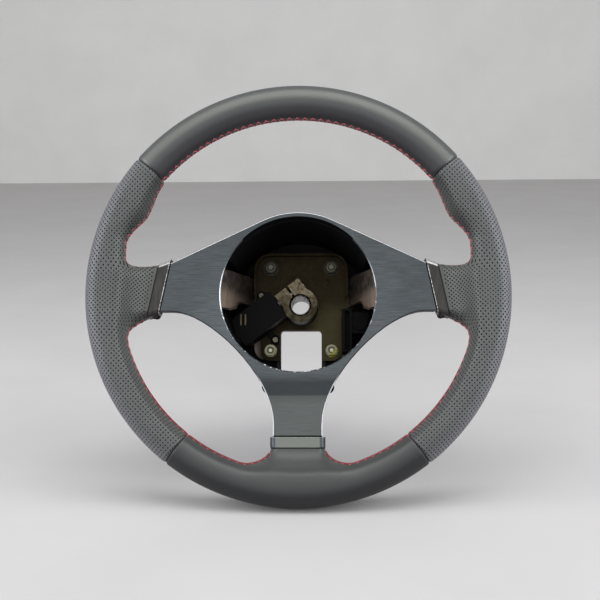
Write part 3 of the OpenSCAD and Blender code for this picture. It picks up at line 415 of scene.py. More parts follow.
class Look:
    """One material, with short names for the shader steps that are used here."""

    def __init__(self, name, metallic=0.0, rough=0.5, spec=0.5, aniso=0.0):
        self.material = bpy.data.materials.new(name)
        self.material.use_nodes = True
        self.tree = self.material.node_tree
        self.shader = self.tree.nodes["Principled BSDF"]
        self.base = self.shader.inputs
        self.base["Metallic"].default_value = metallic
        self.base["Roughness"].default_value = rough
        self.base["Specular IOR Level"].default_value = spec
        self.base["Anisotropic"].default_value = aniso

    def node(self, kind):
        return self.tree.nodes.new(kind)

    def feed(self, value, socket):
        """Set a number or a colour on a socket, or link another node's output to it."""
        if isinstance(value, tuple):
            socket.default_value = (*value, 1)
        elif isinstance(value, (int, float)):
            socket.default_value = value
        else:
            self.tree.links.new(value, socket)

    def dress(self, colour, rough, normal):
        for value, name in ((colour, "Base Color"), (rough, "Roughness"), (normal, "Normal")):
            self.feed(value, self.base[name])

    def math(self, operation, *values):
        n = self.node("ShaderNodeMath")
        n.operation = operation
        for value, socket in zip(values, n.inputs):
            self.feed(value, socket)
        return n.outputs[0]

    def mul(self, first, *others):
        for value in others:
            first = self.math("MULTIPLY", first, value)
        return first

    def add(self, a, b):
        return self.math("ADD", a, b)

    def less(self, a, b):
        return self.math("SUBTRACT", a, b)

    def most(self, a, b):
        return self.math("MAXIMUM", a, b)

    def size(self, v):
        return self.math("ABSOLUTE", v)

    def root(self, v):
        return self.math("SQRT", v)

    def rest(self, v):
        return self.less(1.0, v)

    def weigh(self, a, b, share):
        """A share of a, and b for the rest."""
        return self.add(self.mul(a, share), self.mul(b, 1 - share))

    def coords(self, scale=(1, 1, 1)):
        mapping = self.node("ShaderNodeMapping")
        mapping.inputs["Scale"].default_value = scale
        self.feed(self.node("ShaderNodeTexCoord").outputs["Object"], mapping.inputs["Vector"])
        return mapping.outputs["Vector"]

    def noise(self, scale, detail=3.0, rough=0.5, at=None):
        n = self.node("ShaderNodeTexNoise")
        n.inputs["Scale"].default_value = scale
        n.inputs["Detail"].default_value = detail
        n.inputs["Roughness"].default_value = rough
        self.feed(at or self.coords(), n.inputs["Vector"])
        return n.outputs["Fac"]

    def cell_borders(self, scale, at):
        n = self.node("ShaderNodeTexVoronoi")
        n.feature = "DISTANCE_TO_EDGE"
        n.inputs["Scale"].default_value = scale
        self.feed(at, n.inputs["Vector"])
        return n.outputs["Distance"]

    def ramp(self, fac, low, dark, high, light):
        n = self.node("ShaderNodeValToRGB")
        for stop, position, colour in zip(n.color_ramp.elements, (low, high), (dark, light)):
            stop.position = position
            stop.color = (*colour, 1)
        self.feed(fac, n.inputs["Fac"])
        return n.outputs["Color"]

    def remap(self, v, start, end, low=0.0, high=1.0):
        """low up to start, high from end on, and a straight line between."""
        n = self.node("ShaderNodeMapRange")
        for name, x in zip(("From Min", "From Max", "To Min", "To Max"), (start, end, low, high)):
            n.inputs[name].default_value = x
        self.feed(v, n.inputs["Value"])
        return n.outputs["Result"]

    def band(self, v, low, high, soft):
        """1 between low and high, 0 outside, with soft borders."""
        return self.mul(self.remap(v, low - soft, low), self.remap(v, high, high + soft, 1.0, 0.0))

    def bump(self, height, strength, dist, normal=None):
        n = self.node("ShaderNodeBump")
        n.inputs["Strength"].default_value = strength
        n.inputs["Distance"].default_value = dist
        self.feed(height, n.inputs["Height"])
        if normal is not None:
            self.feed(normal, n.inputs["Normal"])
        return n.outputs["Normal"]

    def split(self, vector):
        n = self.node("ShaderNodeSeparateXYZ")
        self.feed(vector, n.inputs[0])
        return n.outputs

    def facing(self):
        """The three parts of the surface direction, in the model's own axes."""
        return self.split(self.node("ShaderNodeNewGeometry").outputs["True Normal"])

    def place(self):
        """The point's place in millimetres, in the model's own axes."""
        return self.split(self.coords((1 / MM, 1 / MM, 1 / MM)))

    def from_axis(self, x0=0.0, z0=0.0):
        """Distance in mm from an axis along the column's direction, the same on the left and the right."""
        x, _, z = self.place()
        dx = self.less(self.size(x), x0)
        dz = self.less(z, z0)
        return self.root(self.add(self.mul(dx, dx), self.mul(dz, dz)))

    def from_seam(self):
        """Distance in mm across the grip, from its inner edge out."""
        return self.less(self.from_axis(), INNER_R)

    def mixed(self, fac, a, b):
        """a where fac is 0 and b where it is 1: a colour where either is one, otherwise a number."""
        n = self.node("ShaderNodeMix")
        first, out = 2, 0
        if isinstance(a, tuple) or isinstance(b, tuple):
            n.data_type = "RGBA"
            first, out = 6, 2
        self.feed(fac, n.inputs[0])
        self.feed(a, n.inputs[first])
        self.feed(b, n.inputs[first + 1])
        return n.outputs[out]

    def over(self, fac, colour, rough, metallic=None):
        """Lay another colour, roughness and metal share over the material where fac is 1."""
        for name, value in (("Base Color", colour), ("Roughness", rough), ("Metallic", metallic)):
            if value is not None:
                socket = self.base[name]
                under = socket.links[0].from_socket if socket.is_linked else socket.default_value
                self.feed(self.mixed(fac, under, value), socket)


HOLE_PITCH = 4.1
HOLE_EDGE = (0.54, 0.70)
HOLE_LIP = (0.62, 0.74, 0.8, 1.05)
HOLE_SLOPE = (0.35, 0.95)
PLAIN_BORDER = (2.6, 3.0)
HOLE_COLOUR = (0.0035, 0.0035, 0.0038)
LIP_COLOUR = (0.13, 0.134, 0.130)


def perforate(look, colour, normal):
    """Punched holes in a diamond pattern, with a lighter lip and a dark bottom."""
    flat = look.node("ShaderNodeAttribute")
    flat.attribute_name = "pattern"
    x, y, from_seam = look.split(flat.outputs["Vector"])
    squares = []
    for diagonal in (look.add(x, y), look.less(x, y)):
        v = look.math("DIVIDE", diagonal, HOLE_PITCH)
        v = look.less(v, look.math("ROUND", v))
        squares.append(look.mul(v, v))
    r = look.mul(look.root(look.add(*squares)), HOLE_PITCH / math.sqrt(2))
    lip = look.mul(look.remap(r, *HOLE_LIP[:2]), look.remap(r, *HOLE_LIP[2:], 1.0, 0.0))
    border = look.remap(from_seam, *PLAIN_BORDER, 1.0, 0.0)
    solid = look.most(look.remap(r, *HOLE_EDGE), border)
    colour = look.mixed(look.mul(lip, 0.65), colour, LIP_COLOUR)
    colour = look.mixed(solid, HOLE_COLOUR, colour)
    normal = look.bump(look.most(look.remap(r, *HOLE_SLOPE), border), 0.9, 0.0005, normal)
    deep = look.node("ShaderNodeBsdfDiffuse")
    look.feed((0.003, 0.003, 0.003), deep.inputs["Color"])
    layers = look.node("ShaderNodeMixShader")
    look.feed(solid, layers.inputs[0])
    look.feed(deep.outputs[0], layers.inputs[1])
    look.feed(look.shader.outputs[0], layers.inputs[2])
    look.feed(layers.outputs[0], look.tree.nodes["Material Output"].inputs["Surface"])
    return colour, normal


def leather(name, light, dark, holes=False):
    look = Look(name)
    look.base["Sheen Weight"].default_value = 0.05
    look.base["Sheen Roughness"].default_value = 0.5
    vec = look.coords()
    pores = look.noise(1500.0, 2.0, at=vec)
    broad = look.noise(26.0, at=vec)
    cells = look.math("MINIMUM", look.mul(look.cell_borders(900.0, vec), 4.0), 0.6)
    colour = look.ramp(look.weigh(broad, pores, 0.75), 0.3, dark, 0.72, light)
    rough = look.remap(look.weigh(broad, pores, 0.6), 0.3, 0.7, 0.36, 0.46)
    normal = look.bump(look.add(cells, look.mul(pores, 0.35)), 0.35, 0.00022)
    if holes:
        colour, normal = perforate(look, colour, normal)
    look.dress(colour, rough, normal)
    return look


def thread(name, dark, light):
    look = Look(name, rough=0.6, spec=0.3)
    look.base["Sheen Weight"].default_value = 0.4
    v = look.noise(2500.0, 2.0)
    look.feed(look.ramp(v, 0.3, dark, 0.7, light), look.base["Base Color"])
    look.feed(look.bump(v, 0.5, 0.0002), look.base["Normal"])
    return look


def brushed(name, dark, light, grain_scale, rough=(0.3, 0.42), strength=0.12, scratches=True):
    look = Look(name, metallic=1.0, rough=0.36, aniso=0.35)
    fine = look.noise(60.0, 5.0, 0.7, at=look.coords(grain_scale))
    tone = look.weigh(fine, look.noise(18.0), 0.7)
    colour = look.ramp(tone, 0.32, dark, 0.68, light)
    if scratches:
        lines = look.remap(look.cell_borders(70.0, look.coords((1.0, 1.0, 0.25))), 0.0, 0.012, 1.0, 0.0)
        spots = look.remap(look.noise(9.0, 2.0), 0.62, 0.7)
        colour = look.mixed(look.mul(lines, spots, 0.5), colour, (0.45, 0.47, 0.48))
    look.dress(colour, look.remap(tone, 0.3, 0.7, rough[1], rough[0]), look.bump(fine, strength, 0.0001))
    return look


def worn_metal(name, dark, light, rust, rust_amount=0.5, rough=(0.35, 0.6), scale=60.0, metallic=1.0):
    look = Look(name, metallic=metallic, rough=0.45)
    big = look.noise(scale, 5.0, 0.6)
    small = look.noise(scale * 12, 4.0, 0.65)
    tone = look.weigh(big, small, 0.6)
    less_rust = 0.3 * rust_amount
    spots = look.remap(look.noise(scale * 3.2, 6.0, 0.7), 0.68 - less_rust, 0.8 - less_rust)
    look.dress(look.mixed(spots, look.ramp(tone, 0.3, dark, 0.7, light), rust),
               look.remap(look.weigh(tone, spots, 0.6), 0.2, 0.8, *rough),
               look.bump(look.add(small, look.mul(spots, 0.5)), 0.3, 0.0003))
    return look


def plastic(name, dark, light, rough=(0.42, 0.6), grain=1400.0, spec=0.45):
    look = Look(name, spec=spec)
    fine = look.noise(grain)
    broad = look.noise(30.0, 4.0)
    look.dress(look.ramp(broad, 0.3, dark, 0.72, light),
               look.remap(look.weigh(fine, broad, 0.5), 0.3, 0.7, *rough),
               look.bump(fine, 0.25, 0.0002))
    return look


def smooth_leather():
    """Painted shade under the rim's inner edge, painted light over its crown with a painted highlight band,
    and darker again at the outer edge.
    """
    look = leather("leather_smooth", (0.032, 0.032, 0.034), (0.022, 0.022, 0.024))
    across = look.from_seam()
    # Painted shade along the inner edge
    look.over(look.remap(across, 12.0, 3.0, 0.0, 0.8), (0.013, 0.012, 0.015), 0.5)
    # Painted light over the crown
    look.over(look.remap(across, 7.5, 16.0, 0.0, 0.85), (0.066, 0.069, 0.065), 0.38)
    # Painted highlight band
    look.over(look.band(across, 17.0, 21.0, 3.5), (0.092, 0.096, 0.086), 0.36)
    # Back to a darker tone at the outer edge, past the painted highlight
    look.over(look.remap(across, 21.5, 26.5, 0.0, 0.9), (0.030, 0.033, 0.034), 0.44)
    return look


def low_leather():
    """A lighter copy of the smooth leather for the bottom panel as painted light, with a painted dark
    reflection towards the outside and painted shade over the highlight ridge along the inner seam.
    """
    # Lighter base colours than the top's smooth leather: painted light
    look = leather("leather_smooth_low", (0.055, 0.058, 0.055), (0.042, 0.044, 0.042))
    across = look.from_seam()
    # Painted dark reflection towards the outer edge
    look.over(look.remap(across, 6.0, 20.0, 0.0, 0.97), (0.004, 0.004, 0.005), 0.62)
    # Painted shade that damps the highlight ridge along the inner seam
    look.over(look.mul(look.band(across, -2.0, 3.0, 2.5), 0.45), (0.030, 0.032, 0.030), 0.48)
    return look


def perforated_leather():
    """A painted bluish sheen along the outer border, a greener inner border, and painted shade on the
    undersides near the inner edge at the spoke roots.
    """
    look = leather("leather_perforated", (0.082, 0.086, 0.083), (0.060, 0.063, 0.061), True)
    across = look.from_seam()
    # Painted bluish sheen along the outer border
    look.over(look.remap(across, 19.0, 26.0, 0.0, 0.8), (0.122, 0.118, 0.134), 0.4)
    look.over(look.remap(across, 12.0, 2.0, 0.0, 0.55), (0.066, 0.069, 0.060), 0.44)
    # Painted shade where the surface faces down near the inner edge
    down = look.remap(look.facing()[2], -0.2, -0.6, 0.0, 0.85)
    look.over(look.mul(down, look.remap(across, 12.0, 2.0)), (0.022, 0.021, 0.021), 0.5)
    return look


def seam_thread():
    """Dark red, and painted nearly black in the upper half as shade where the cord lies in the seam's groove.
    """
    look = thread("dark_red_thread", (0.09, 0.006, 0.010), (0.21, 0.014, 0.022))
    # Painted shade in the seam's groove over the upper part of the rim
    look.over(look.remap(look.place()[2], -40.0, 20.0, 0.0, 0.92), (0.035, 0.004, 0.006), 0.7)
    return look


CHAMFER_MID = 11.4
LOW_ARM_CHAMFER_MID = 11.6
CHAMFER_STEP = 0.06


def bezel_metal():
    """Brushed sheet, with chamfers that carry a painted highlight where they face up and painted shade where
    they face down and along their outer half; painted dark and light reflections on the bottom arm each side
    of its bend.
    """
    look = brushed("bezel_metal", (0.045, 0.051, 0.054), (0.120, 0.133, 0.140), (0.9, 1.0, 26.0))
    nx, ny, nz = look.facing()
    px, py, pz = look.place()
    sideways = look.size(nx)
    chamfer = look.mul(look.remap(ny, -0.93, -0.85), look.remap(ny, -0.5, -0.3, 1.0, 0.0))
    low_arm = look.mul(look.remap(pz, -66.0, -74.0, 0.0, 0.9), look.remap(sideways, 0.15, 0.35))
    # Chamfers that get the painted highlight: those facing up, and the bottom arm's
    lit = look.most(look.remap(nz, -0.35, 0.1), low_arm)
    left_flank = look.mul(look.band(pz, -10.0, 18.0, 6.0), look.remap(px, -50.0, -60.0))
    right_flank = look.mul(look.band(pz, 9.0, 28.0, 5.0), look.remap(px, 50.0, 60.0, 0.0, 0.75))
    spark = look.mul(look.remap(look.noise(420.0), 0.56, 0.66, 0.05, 0.8),
                     look.remap(px, 5.0, 25.0, 1.0, 0.35))
    # Round the opening the painted highlight stays only on the flanks and in a few sparks
    sill = look.remap(look.from_axis(), OPENING_R + 1.9, OPENING_R + 2.5, 1.0, 0.0)
    kept = look.most(look.rest(sill), look.most(look.most(left_flank, right_flank), spark))
    arm_end = look.mul(look.remap(look.size(px), 90.0, 94.0), look.remap(sideways, 0.5, 0.6))

    # Depth as if the bottom arm weren't bent, so that one depth parts the chamfers' inner and outer half
    depth = look.add(py, look.mul(look.most(look.less(BEND_Z, pz), 0.0), BEND_SLOPE))
    outer, low_outer = (look.remap(depth, at - RIM_AHEAD, at + CHAMFER_STEP - RIM_AHEAD)
                        for at in (CHAMFER_MID, LOW_ARM_CHAMFER_MID))
    outer = look.mul(outer, look.rest(look.mul(low_arm, low_outer)), look.rest(sill))

    # Painted dark reflection on the bottom arm just above its bend
    look.over(look.mul(look.band(pz, -83.0, -74.0, 9.0), 0.8), (0.03, 0.034, 0.036), 0.4)
    # Painted light reflection on the bottom arm below its bend
    look.over(look.remap(pz, BEND_Z - 1.0, BEND_Z, 0.45, 0.0), (0.135, 0.147, 0.132), 0.4)
    # Painted shade on chamfers that face down
    look.over(look.mul(chamfer, look.remap(nz, -0.5, -0.3, 0.9, 0.0)), (0.006, 0.006, 0.007), 0.6, 0.0)
    # Painted highlight on the chamfers that face up
    look.over(look.mul(chamfer, lit, kept, look.rest(arm_end)), (0.95, 0.96, 0.97), 0.3, 0.0)
    # Painted shade along the chamfers' outer half, a dark outline
    look.over(look.mul(chamfer, outer), (0.012, 0.012, 0.013), 0.5, 0.0)
    return look


def clip_metal():
    """Satin dark clips with a painted glint along the hub-side edge and a painted highlight on the edges that
    face up; the bottom one is painted lighter, most in its middle.
    """
    look = brushed("clip_metal", (0.040, 0.038, 0.036), (0.085, 0.081, 0.077), (6.0, 1.0, 0.6),
                   (0.34, 0.46), 0.1, False)
    px, _, pz = look.place()
    _, ny, nz = look.facing()
    a = math.radians(SIDE_CLIP_A)
    side = look.less(look.add(look.mul(look.size(px), math.cos(a)), look.mul(pz, math.sin(a))), SIDE_CLIP_S)
    bottom = look.less(look.mul(pz, -1.0), BOTTOM_CLIP_S)
    along = look.most(side, bottom)
    # Painted light: the bottom clip is a bluish, lighter copy, lightest in its middle
    low_clip = look.remap(pz, -112.0, -113.0, 0.0, 0.9)
    look.over(low_clip, (0.078, 0.087, 0.095), 0.38)
    look.over(look.mul(low_clip, look.band(px, -17.5, 17.5, 1.5)), (0.190, 0.200, 0.178), 0.4)
    # Painted glint along the clip's hub-side edge, broken into patches by noise
    painted_light = look.remap(look.noise(600.0), 0.42, 0.6, 0.15, 1.0)
    glint = look.mul(look.remap(along, 0.35, 0.6, 1.0, 0.0), painted_light,
                     look.remap(pz, -100.0, -105.0, 1.0, 0.2), look.remap(ny, -0.6, -0.4, 1.0, 0.0))
    look.over(glint, (0.80, 0.80, 0.78), 0.3, 0.4)
    # Painted highlight on the edges that face up, dimmer on the bottom clip
    top_edge = look.mul(look.band(nz, 0.30, 0.90, 0.12), look.remap(ny, -0.35, -0.2, 1.0, 0.0))
    look.over(top_edge, (0.46, 0.46, 0.45), 0.35, 0.5)
    look.over(look.mul(top_edge, low_clip), (0.17, 0.18, 0.165), 0.4, 0.5)
    return look


def arm_metal():
    """Black round the pan, and a patchy painted dark reflection on the upper half of the arms."""
    look = worn_metal("arm_metal", (0.215, 0.158, 0.120), (0.385, 0.295, 0.228), (0.2, 0.15, 0.1),
                      0.3, (0.3, 0.42), 40.0, 0.35)
    px, _, pz = look.place()
    look.over(look.remap(look.size(px), 34.0, 44.0, 1.0, 0.0), (0.004, 0.004, 0.004), 0.6, 0.0)
    # Painted dark reflection on the upper half of the arms, in patches
    patches = look.remap(look.noise(160.0, 2.0), 0.35, 0.6, 0.6, 1.0)
    dark_reflection = look.mul(look.remap(pz, 3.0, 11.0, 0.0, 0.92), patches)
    look.over(dark_reflection, (0.03, 0.028, 0.025), 0.45)
    return look


def plate_steel():
    """Dark, and painted lighter olive in its lower right part as a patch of light."""
    look = worn_metal("plate_steel", (0.008, 0.006, 0.004), (0.030, 0.024, 0.014), (0.04, 0.03, 0.014),
                      0.5, (0.34, 0.6), 50.0)
    px, _, pz = look.place()
    # Painted patch of olive light in the lower right part
    lit_olive = look.mul(look.remap(px, 2.0, 16.0, 0.0, 0.75), look.remap(pz, -6.0, 8.0, 1.0, 0.0))
    look.over(lit_olive, (0.058, 0.050, 0.026), 0.42)
    return look


def clamp_steel():
    """Darker and patchy below, with painted shade on every side but the front; the bore's walls are a little
    lighter.
    """
    look = worn_metal("clamp_steel", (0.040, 0.033, 0.020), (0.25, 0.218, 0.150), (0.075, 0.042, 0.02),
                      0.6, (0.3, 0.5), 90.0)
    sides = look.facing()[1]
    # Darker and patchy towards the bottom
    darker_below = look.mul(look.remap(look.place()[2], -2.0, 12.0, 1.0, 0.0),
                    look.remap(look.noise(200.0), 0.3, 0.6, 0.5, 0.95))
    look.over(darker_below, (0.030, 0.025, 0.014), 0.45)
    outside = look.remap(look.from_axis(), 9.2, 9.8)
    # Painted shade on the outer sides that don't face the front
    look.over(look.mul(look.remap(sides, -0.6, -0.3, 0.0, 0.9), outside), (0.022, 0.019, 0.012), 0.5)
    # Painted shade, less dark, on the bore's walls
    look.over(look.mul(look.remap(sides, -0.6, -0.3), look.rest(outside)), (0.060, 0.052, 0.042), 0.45, 0.5)
    return look


def nut_steel():
    """Dark nuts with a lighter ring round the collar and a lighter stud end."""
    look = worn_metal("nut_steel", (0.016, 0.015, 0.011), (0.045, 0.042, 0.033), (0.04, 0.03, 0.02),
                      0.3, (0.35, 0.5), 80.0)
    r = look.from_axis(HUB_BOLT_X, HUB_BOLT_Z)
    look.over(look.band(r, 3.7, 4.1, 0.35), (0.12, 0.115, 0.092), 0.35)
    look.over(look.band(r, -1.0, 1.7, 0.8), (0.12, 0.116, 0.095), 0.3)
    return look


def bolt_zinc():
    """Yellow zinc with painted rings of light and shade round each bolt, and the right one's yellow paint
    mark.
    """
    look = worn_metal("bolt_zinc", (0.09, 0.085, 0.05), (0.25, 0.24, 0.16), (0.11, 0.085, 0.04),
                      0.3, (0.25, 0.42), 120.0)
    px, _, pz = look.place()
    r = look.from_axis(HUB_BOLT_X, -HUB_BOLT_Z)
    # Painted shade round the head, a painted highlight ring, a painted shade ring and a painted highlight in
    # the middle
    look.over(look.band(r, 6.0, 12.0, 0.5), (0.03, 0.027, 0.018), 0.5)
    look.over(look.band(r, 4.2, 4.8, 0.5), (0.19, 0.185, 0.125), 0.3)
    look.over(look.band(r, 2.2, 2.8, 0.5), (0.06, 0.056, 0.036), 0.45)
    look.over(look.band(r, -1.0, 1.2, 0.6), (0.36, 0.36, 0.29), 0.28)
    slope = look.less(look.less(px, HUB_BOLT_X), look.add(pz, HUB_BOLT_Z))
    paint = look.mul(look.remap(slope, 2.2, 3.4), look.remap(px, 10.0, 11.0),
                     look.remap(look.noise(260.0), 0.38, 0.5))
    look.over(paint, (0.52, 0.48, 0.02), 0.4, 0.0)
    return look


LOOKS = dict(
    smooth=smooth_leather(),
    painted_light=low_leather(),
    perf=perforated_leather(),
    thread=thread("red_thread", (0.44, 0.026, 0.042), (0.78, 0.12, 0.135)),
    cord=seam_thread(),
    bezel=bezel_metal(),
    clip=clip_metal(),
    arm=arm_metal(),
    plate=plate_steel(),
    clamp=clamp_steel(),
    spline=worn_metal("spline_steel", (0.016, 0.014, 0.012), (0.15, 0.138, 0.12), (0.04, 0.028, 0.02),
                      0.6, (0.18, 0.3), 200.0),
    nut=nut_steel(),
    zinc=bolt_zinc(),
    small_screw=worn_metal("small_screw", (0.03, 0.028, 0.022), (0.22, 0.205, 0.16), (0.05, 0.04, 0.02),
                           0.4, (0.25, 0.42), 420.0),
    steel=worn_metal("screw_steel", (0.4, 0.4, 0.39), (0.7, 0.7, 0.68), (0.4, 0.36, 0.3),
                     0.2, (0.22, 0.4), 80.0),
    bolt=worn_metal("bolt_steel", (0.22, 0.21, 0.19), (0.42, 0.41, 0.38), (0.2, 0.15, 0.1),
                    0.3, (0.3, 0.5), 80.0),
    spring=worn_metal("contact_spring", (0.035, 0.029, 0.016), (0.13, 0.108, 0.062), (0.2, 0.14, 0.06),
                      0.3, (0.3, 0.45), 120.0),
    shroud=plastic("shroud_plastic", (0.002, 0.002, 0.0025), (0.005, 0.005, 0.006), (0.5, 0.7), 1400.0, 0.12),
    guide=plastic("guide_plastic", (0.0012, 0.0012, 0.0012), (0.0032, 0.0032, 0.0032),
                  (0.4, 0.55), 1400.0, 0.1),
    foam=plastic("foam", (0.006, 0.006, 0.006), (0.012, 0.012, 0.012), (0.7, 0.85), 600.0),
)
M = {key: look.material for key, look in LOOKS.items()}

CAD_LOOKS = dict(
    armature="arm", rim_ring="arm", rim_foam="foam", spoke_bezel="bezel", left_spoke_clip="clip",
    right_spoke_clip="clip", bottom_spoke_clip="clip", rear_shroud="shroud", shroud_screws="steel",
    hub_plate="plate", column_clamp="clamp", pinch_bolt="bolt", upper_hub_nuts="nut", lower_hub_bolts="zinc",
    lower_hub_washers="zinc", bolt_guide="guide", guide_screws="small_screw", connector_housing="guide",
    horn_contact="shroud", contact_springs="spring")

for name, key in CAD_LOOKS.items():
    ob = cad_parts[name]
    if not ob.material_slots:
        ob.data.materials.append(M[key])
    for slot in ob.material_slots:
        slot.material = M[key]


def put(ob, mat, slot_name, *replaced):
    ob.data.materials.clear()
    ob.data.materials.append(mat)
    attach(ob, "root")
    if replaced:
        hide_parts(*replaced)


# Leather panels, in their order round the rim

SIDE_ROOT, BOTTOM_ROOT = side_root(), bottom_root()
SIDE_GRID, TOP_GRID, BOTTOM_GRID = padding_grid(SIDE_ROOT), top_grid(), padding_grid(BOTTOM_ROOT)

surfaces = []
for where, grid, mirror, key, slot_name in (("right", SIDE_GRID, False, "perf", "leather_perforated"),
                                            ("top", TOP_GRID, False, "smooth", "leather_smooth"),
                                            ("left", SIDE_GRID, True, "perf", "leather_perforated"),
                                            ("bottom", BOTTOM_GRID, False, "painted_light", "leather_smooth")):
    ob, surface = panel(f"leather_{where}_panel", grid, mirror)
    put(ob, M[key], slot_name, f"leather_{where}")
    surfaces.append(surface)


# Splines in the clamp's bore

SPLINE_TEETH = 36
SPLINE_OUTER, SPLINE_INNER = 8.75, 8.05
TOOTH_STEPS = np.array([-0.36, -0.2, 0.2, 0.36])
SPLINE_DEPTHS = (83.6, 84.4, 120.0)
SPLINE_FLARES = (0.45, 0.0, 0.0)


def splines():
    a = (np.arange(SPLINE_TEETH)[:, None] + TOOTH_STEPS).ravel() * 2 * math.pi / SPLINE_TEETH
    r = np.tile([SPLINE_OUTER, SPLINE_INNER, SPLINE_INNER, SPLINE_OUTER], SPLINE_TEETH)
    verts = np.concatenate([np.stack([(r + w) * np.cos(a), np.full(len(a), d), (r + w) * np.sin(a)], -1)
                            for d, w in zip(SPLINE_DEPTHS, SPLINE_FLARES)])
    faces = stacked_rings(len(a), len(SPLINE_DEPTHS))
    put(new_mesh("bore_splines", to_world(verts), faces, False), M["spline"], "clamp_steel")


splines()


# Padding under the leather, drawn as finely as the leather so that it stays below it

def padding(grid, root, mirror):
    """Points and faces under one panel, with the neck that fills the clip."""
    front, rear, on_clip = grid
    f = front - surface_normals(front) * PADDING_UNDER
    r = rear + surface_normals(rear) * PADDING_UNDER
    inward = flat_direction(middle_line(front, rear) - front[:, 0])
    f[~on_clip, 0] = ((front[:, 0] + rear[:, 0]) / 2 + inward * (PADDING_UNDER + PADDING_GROOVE))[~on_clip]
    f[:, -1] = front[:, -1] - flat_direction(front[:, -1]) * PADDING_UNDER
    r[~on_clip, 0] = f[~on_clip, 0]
    r[:, -1] = f[:, -1]
    m, n = f.shape[:2]
    verts = np.concatenate([f.reshape(-1, 3), r.reshape(-1, 3)])
    faces = [grid_faces(m, n), grid_faces(m, n, m * n, True)]
    ring = clip_ring(on_clip, n)
    if len(ring):
        neck = np.array([root["normal"][0], 0, root["normal"][1]]) * (CLIP_W + CLIP_GAP - NECK_SHORT)
        end = len(verts) + np.arange(len(ring))
        verts = np.concatenate([verts, verts[ring] - neck, [verts[ring].mean(0) - neck]])
        tip = np.full(len(ring), end[-1] + 1)
        faces += [ring_faces(end, ring), np.stack([end, tip, np.roll(end, -1)], -1)]
    if mirror:
        verts = verts * MIRROR
        faces = [x[:, ::-1] for x in faces]
    return verts, faces


def rim_padding():
    verts, faces = [], []
    for grid, root, mirror in ((SIDE_GRID, SIDE_ROOT, False), (TOP_GRID, None, False),
                               (SIDE_GRID, SIDE_ROOT, True), (BOTTOM_GRID, BOTTOM_ROOT, False)):
        v, parts = padding(grid, root, mirror)
        base = sum(len(x) for x in verts)
        verts.append(v)
        faces += [tuple(x + base) for part in parts for x in part]
    put(new_mesh("rim_padding", to_world(np.concatenate(verts)), faces), M["foam"], "foam", "rim_foam")


rim_padding()


# Dark joint between each clip and the leather

JOINT_PROFILE = ((0.95, -0.3), (0.85, 0.12), (-0.2, 0.12), (-0.28, -0.3))
JOINT_FLAT = 3.0


def joint(name, grid, root, mirror=False):
    """Thin band round the root's end; its profile runs along the spoke and out of the root."""
    front, rear, on_clip = grid
    ring = np.concatenate([front[on_clip, 0], rear[on_clip, 0][::-1]])
    w = np.array([root["normal"][0], 0, root["normal"][1]])
    out = ring - ring.mean(0)
    out[:, 1] *= JOINT_FLAT
    out -= (out @ w)[:, None] * w
    out /= np.linalg.norm(out, axis=1, keepdims=True)
    verts = np.concatenate([ring + w * a + out * b for a, b in JOINT_PROFILE])
    if mirror:
        verts = verts * MIRROR
    put(new_mesh(name, to_world(verts), stacked_rings(len(ring), len(JOINT_PROFILE))), M["foam"], None)


joint("right_clip_joint", SIDE_GRID, SIDE_ROOT)
joint("left_clip_joint", SIDE_GRID, SIDE_ROOT, True)
joint("bottom_clip_joint", BOTTOM_GRID, BOTTOM_ROOT)


# Stitching

STITCH_PITCH = 6.6
STITCH_REACH, STITCH_LOW_REACH = 5.0, 0.9
STITCH_LOW_SHIFT = 2.2
STITCH_R = 0.36
STITCH_LIFT, STITCH_SINK = 0.16, 0.6
STITCH_STEPS = 11
RUN_MARGIN = 3.0
STITCH_MARGIN = 0.5
CORD_STEP = 1.6
CORD_MARGIN = 2.0
CORD_R, LOW_CORD_R = 0.5, 0.8
CORD_AT = 0.7
CORD_LOW_SHIFT, CORD_LOW_SPREAD = 0.6, 4.6
CORD_LIFT, CORD_SINK = 0.05, 0.35
SECTION_MID = 9.0
SHORTEST_RUN = 4
LOW_FROM, LOW_OVER = -40.0, 60.0


def seam_runs():
    """Stretches of the inner seam between the clips: front and rear surface stations in order."""
    front, rear, on_clip = (np.concatenate(x) for x in zip(*surfaces))
    n = len(on_clip)
    start = next(i for i in range(n) if on_clip[i] and not on_clip[(i + 1) % n])
    runs = [[]]
    for i in (np.arange(n) + start + 1) % n:
        if on_clip[i]:
            runs.append([])
        else:
            runs[-1].append(i)
    return [(front[run], rear[run]) for run in runs if len(run) > SHORTEST_RUN]


def point_at(side, station, v):
    """Point on a face, v mm from the inner edge."""
    i = int(min(max(math.floor(station), 0), len(side) - 2))
    w = station - i
    row = side[i] * (1 - w) + side[i + 1] * w
    d = run_length(row)
    return np.array([np.interp(v, d, row[:, k]) for k in range(3)])


def lifted(side, edge, station, v, lift):
    """The same point, moved out of the leather by lift."""
    p = point_at(side, station, v)
    e = point_at(side, station, SECTION_MID)
    out = p - np.array([e[0], edge[int(station), 1], e[2]])
    return p + out / np.linalg.norm(out) * lift


def lowness(z):
    """0 in the upper half, rising to 1 at the bottom of the rim, where the seam turns to the driver."""
    return float(ease((LOW_FROM - z) / LOW_OVER))


